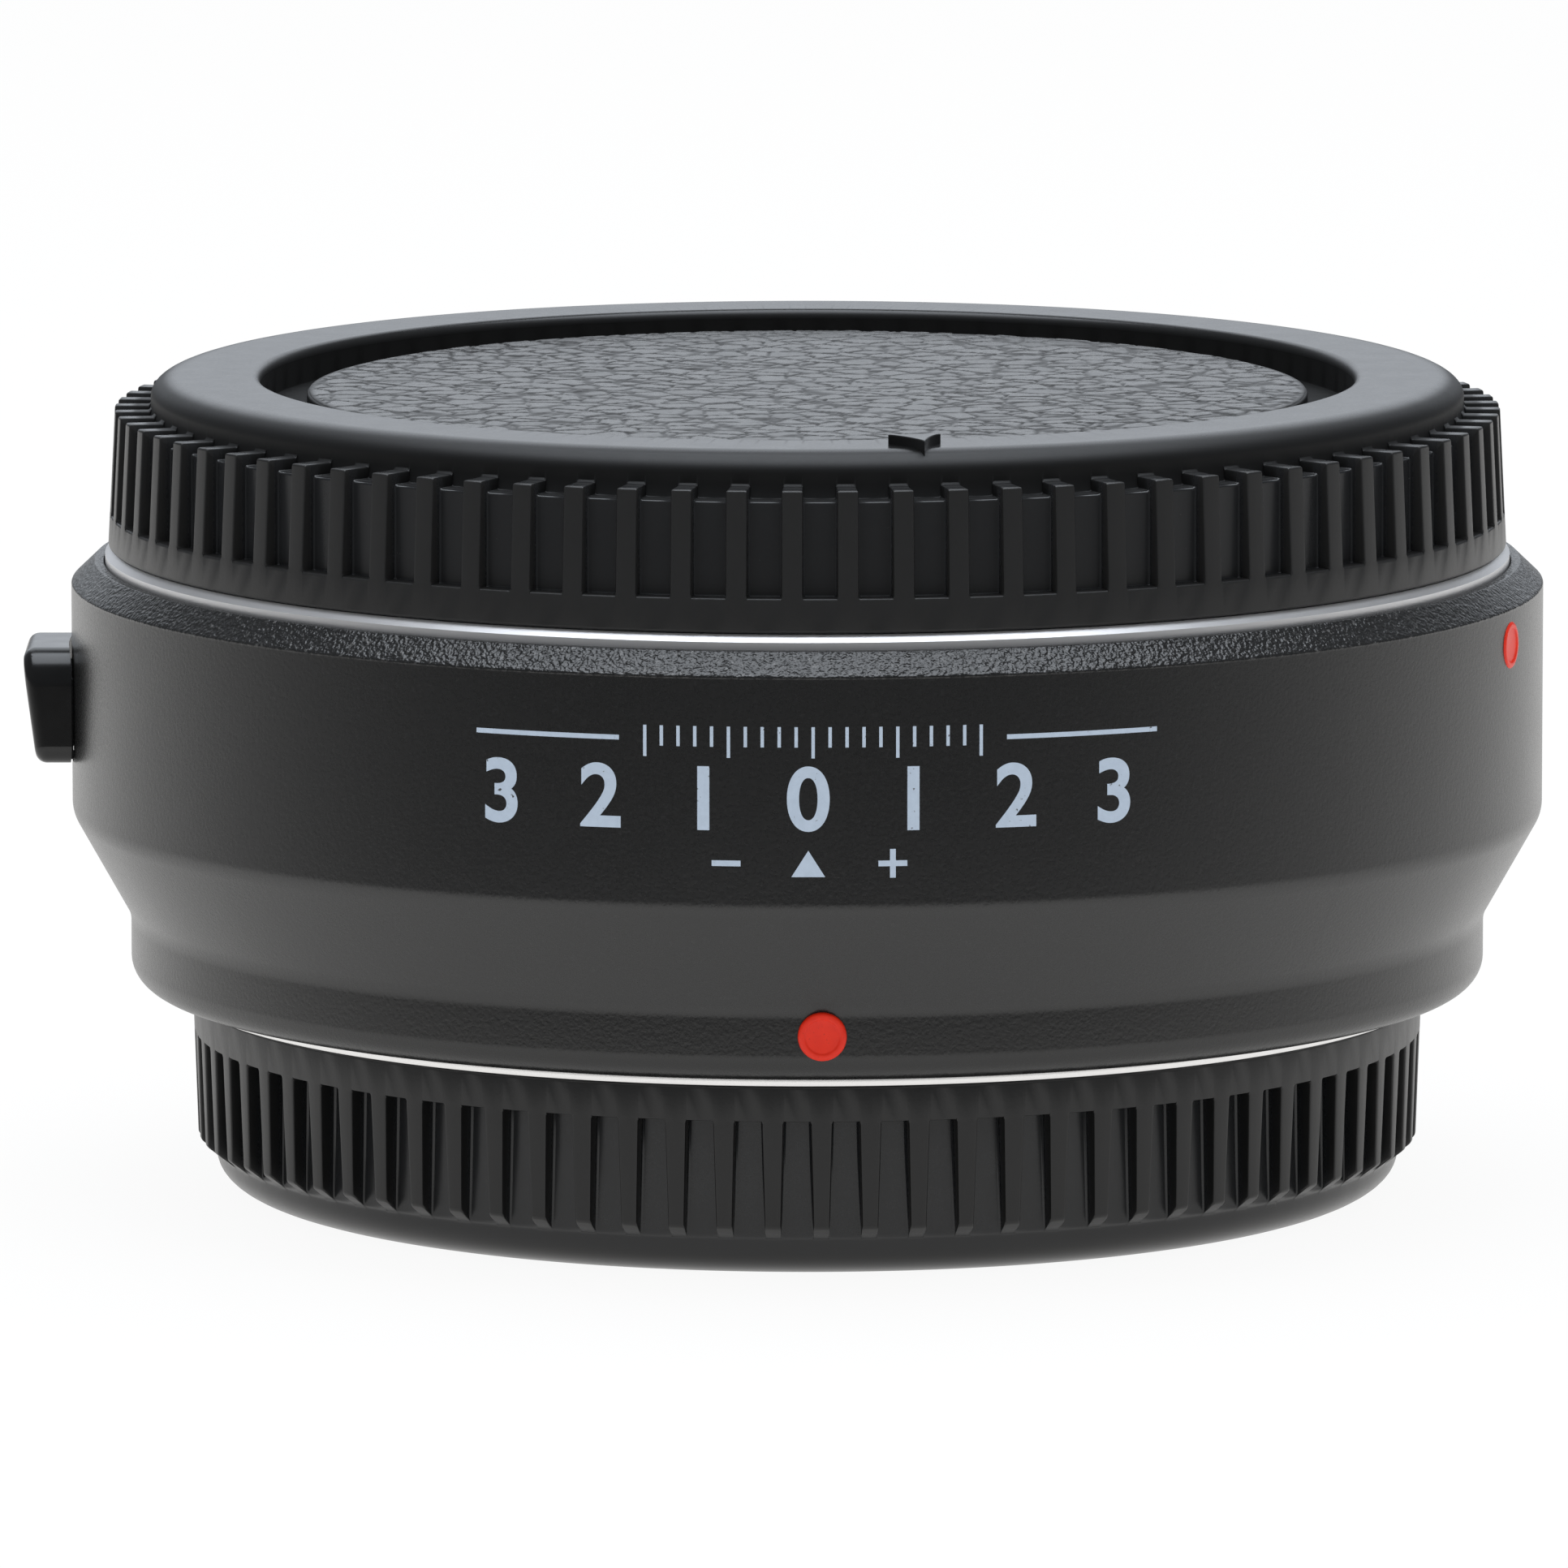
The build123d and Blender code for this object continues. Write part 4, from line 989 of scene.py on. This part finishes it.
def figure(text, size, x, z):
    """Flat mesh of a figure of the printed scale, centred on a point."""
    curve = bpy.data.curves.new("figure", "FONT")
    curve.body = text
    curve.size = size
    curve.offset = PRINT_BOLD
    curve.align_x = "CENTER"
    curve.align_y = "CENTER"
    writer = bpy.data.objects.new("figure", curve)
    mesh = bpy.data.meshes.new_from_object(writer)
    mesh.transform(Matrix.Translation((x, z, 0)))
    bpy.data.objects.remove(writer)
    bpy.data.curves.remove(curve)
    return mesh


def printed_scale():
    """Plain index scale on the barrel's front: two rules, a row of figures and a row of ticks."""
    work = bmesh.new()
    for number in range(-FIGURE_LAST, FIGURE_LAST + 1):
        mesh = figure(str(abs(number)), FIGURE_SIZE, number * FIGURE_PITCH, FIGURE_LEVEL)
        work.from_mesh(mesh)
        bpy.data.meshes.remove(mesh)
    shapes = [bar(*LEFT_RULE, RULE_LOW, RULE_TOP), bar(*RIGHT_RULE, RULE_LOW, RULE_TOP),
              [(-POINTER_HALF_W, POINTER_LOW), (POINTER_HALF_W, POINTER_LOW), (0.0, POINTER_TOP)],
              bar(*MINUS_SIGN, SIGN_LOW, SIGN_TOP), bar(*PLUS_SIGN, SIGN_LOW, SIGN_TOP),
              bar(*PLUS_STEM, STEM_LOW, SIGN_LOW), bar(*PLUS_STEM, SIGN_TOP, STEM_TOP)]
    for number in range(-TICK_LAST, TICK_LAST + 1):
        middle = number * TICK_PITCH + TICK_SHIFT
        low = LONG_TICK_LOW if number % LONG_TICK_EVERY == 0 else TICK_LOW
        shapes.append(bar(middle - TICK_HALF_W, middle + TICK_HALF_W, low, TICK_TOP))
    for shape in shapes:
        work.faces.new([work.verts.new((x, z, 0)) for x, z in shape])
    reach = max(abs(v.co.x) for v in work.verts)
    for k in range(int(-reach / PRINT_STEP), int(reach / PRINT_STEP) + 1):
        geometry = work.verts[:] + work.edges[:] + work.faces[:]
        bmesh.ops.bisect_plane(work, geom=geometry, plane_co=(k * PRINT_STEP, 0, 0), plane_no=(1, 0, 0))
    flat = work.faces[:]
    raised = bmesh.ops.extrude_face_region(work, geom=flat, use_keep_orig=True)["geom"]
    for v in (v for v in raised if isinstance(v, bmesh.types.BMVert)):
        v.co.z = PRINT_STANDS + PRINT_SINK
    for v in work.verts:
        radius = barrel_r - PRINT_SINK + v.co.z
        turn = math.radians(FRONT_ANGLE) + v.co.x / barrel_r
        v.co = Vector((radius * math.cos(turn), radius * math.sin(turn), v.co.y)) * MM
    bmesh.ops.recalc_face_normals(work, faces=work.faces)
    mesh = bpy.data.meshes.new("barrel_scale_print")
    work.to_mesh(mesh)
    work.free()
    scale = new_piece("barrel_scale_print", mesh, PRINT_FINISH, "adapter")
    scale.data.set_sharp_from_angle(angle=math.radians(SHARP_ANGLE))


# Studio, in metres: the floor, what mirror rays see of it and of the walls, and the soft box
FLOOR_HALF = 3.0
FLOOR_DROP = 0.00002
FLOOR_WHITE = 0.93
FRONT_LEVEL = 0.12
SOFT_LEVEL = 0.6
NEAR_FLOOR = (0.078, 0.100)
# Painted shadow that mirror rays see on the floor round the object: its span and its level
CONTACT_SHADOW_SPAN = (0.028, 0.055)
FAR_FLOOR = (0.3, 0.8)
FADE_TO_FRONT = (-1.0, 0.6)
BACKDROP_EDGE = (0.60, 0.80)
BACKDROP_SIDE = (0.86, 0.97)
HORIZON = (0.02, 0.10)
WALL_LEVEL = 0.14
SKY = (0.93, 0.985, 1.06, 1.0)
PAPER = 0.92
PAPER_MIRRORED = (1.0, 0.995, 0.985, 1.0)
CONTACT_SHADOW_LEVEL = 0.8
FAR_LOSS = 0.8
SIDE_LEAN = 0.12
TOP_BOX_SPOT = (0, 0.045, 0.57)
TOP_BOX_AIM = (0, 0.045, 0)
TOP_BOX_SIZE = (0.55, 0.49)
TOP_BOX_POWER = 2.8


def ray_kinds(nodes):
    """1 for camera rays, for mirror rays and for clear rays, in that order."""
    path = nodes.node("ShaderNodeLightPath")
    outs = path.link.node.outputs
    return [Socket(nodes, outs[kind]) for kind in ("Is Camera Ray", "Is Glossy Ray", "Is Transmission Ray")]


def fade_to_front(nodes, x, y):
    """White towards the back and sides of the studio and dark towards its front, by direction."""
    return FRONT_LEVEL + nodes.ramp(y + x * SIDE_LEAN, *FADE_TO_FRONT) * (1 - FRONT_LEVEL)


def floor():
    """Pale table that keeps the object's soft shadow; reflections see it darken towards the front, with a
    painted shadow close to the object.
    """
    mesh = bpy.data.meshes.new("floor")
    corners = [(-FLOOR_HALF, -FLOOR_HALF), (FLOOR_HALF, -FLOOR_HALF), (FLOOR_HALF, FLOOR_HALF),
               (-FLOOR_HALF, FLOOR_HALF)]
    mesh.from_pydata([(x, y, -FLOOR_DROP) for x, y in corners], [], [(0, 1, 2, 3)])
    table = bpy.data.objects.new("floor", mesh)
    bpy.context.scene.collection.objects.link(table)
    made = bpy.data.materials.new("floor_white")
    made.use_nodes = True
    nodes = Nodes(made.node_tree)
    x, y, z = nodes.parts_of(nodes.node("ShaderNodeTexCoord", output=3))
    away = (x * x + y * y) ** 0.5
    far = nodes.ramp(away, *NEAR_FLOOR)
    camera, mirror, clear = ray_kinds(nodes)
    level = 1 - far * (1 - fade_to_front(nodes, x / away, y / away))
    # Painted shadow: mirror rays see the floor darker close to the object.
    level = level * (CONTACT_SHADOW_LEVEL + nodes.ramp(away, *CONTACT_SHADOW_SPAN) * (1 - CONTACT_SHADOW_LEVEL))
    level = level * (1 - nodes.ramp(away, *FAR_FLOOR) * FAR_LOSS)
    paper = nodes.node("ShaderNodeBsdfDiffuse", {}, {"Color": grey(PAPER)})
    shade = nodes.blend(level, grey(0.0), PAPER_MIRRORED)
    colour = nodes.blend(mirror, grey(1.0), shade)
    glow = nodes.node("ShaderNodeEmission", {}, {"Color": colour, "Strength": 1.0})
    seen = nodes.clamp(camera + mirror + clear) * (FLOOR_WHITE + mirror * (1 - FLOOR_WHITE))
    surface = nodes.node("ShaderNodeMixShader", {}, {0: seen, 1: paper, 2: glow})
    nodes.node("ShaderNodeOutputMaterial", {}, {"Surface": surface})
    mesh.materials.append(made)


def surroundings():
    """White studio: reflections see a white backdrop with edges above and beside it, and dark walls."""
    world = bpy.data.worlds.new("studio")
    world.use_nodes = True
    bpy.context.scene.world = world
    nodes = Nodes(world.node_tree)
    camera, mirror, clear = ray_kinds(nodes)
    x, y, z = nodes.parts_of(nodes.node("ShaderNodeTexCoord", output=0))
    level = (x * x + y * y) ** 0.5
    height = nodes.ramp(z, *HORIZON) * (1 - nodes.ramp(z, *BACKDROP_EDGE))
    backdrop = nodes.ramp(y / level, *BACKDROP_SIDE) * height
    mirrored = nodes.blend(WALL_LEVEL + backdrop * (1 - WALL_LEVEL), grey(0.0), SKY)
    seen = nodes.blend(nodes.clamp(camera + clear), grey(SOFT_LEVEL), grey(1.0))
    colour = nodes.blend(mirror, seen, mirrored)
    back = nodes.node("ShaderNodeBackground", {}, {"Color": colour, "Strength": 1.0})
    nodes.node("ShaderNodeOutputWorld", {}, {"Surface": back})


def top_box():
    """Soft box over the adapter."""
    light = bpy.data.lights.new("top_box", "AREA")
    light.shape = "RECTANGLE"
    light.size, light.size_y = TOP_BOX_SIZE
    light.energy = TOP_BOX_POWER
    light.color = SKY[:3]
    box = bpy.data.objects.new("top_box", light)
    box.location = TOP_BOX_SPOT
    box.rotation_mode = "QUATERNION"
    box.rotation_quaternion = (Vector(TOP_BOX_AIM) - Vector(TOP_BOX_SPOT)).to_track_quat("-Z", "Y")
    bpy.context.scene.collection.objects.link(box)


def camera():
    """The photograph's view: a long lens, a little above the front."""
    data = bpy.data.cameras.new("camera")
    data.lens = LENS_LENGTH
    data.sensor_width = SENSOR
    data.clip_start, data.clip_end = 0.05, 50.0
    viewer = bpy.data.objects.new("camera", data)
    tilt = math.radians(CAMERA_ELEVATION)
    back = Vector((0, -math.cos(tilt), math.sin(tilt)))
    viewer.location = (AIM + back * CAMERA_DISTANCE) * MM
    viewer.rotation_mode = "QUATERNION"
    viewer.rotation_quaternion = (-back).to_track_quat("-Z", "Y")
    bpy.context.scene.collection.objects.link(viewer)
    bpy.context.scene.camera = viewer


dress_cad_nodes()
barrel()
body_cap()
grain_disc()
cap_mark()
rear_cap()
index_dot("camera_index_dot", camera_ring_r + FOOT_W, CAMERA_DOT_STANDS)
index_dot("lens_index_dot", barrel_r, LENS_DOT_STANDS)
lever_pad()
camera_ring_edge()
printed_scale()
floor()
surroundings()
top_box()
camera()
bpy.context.scene.view_settings.view_transform = "Standard"
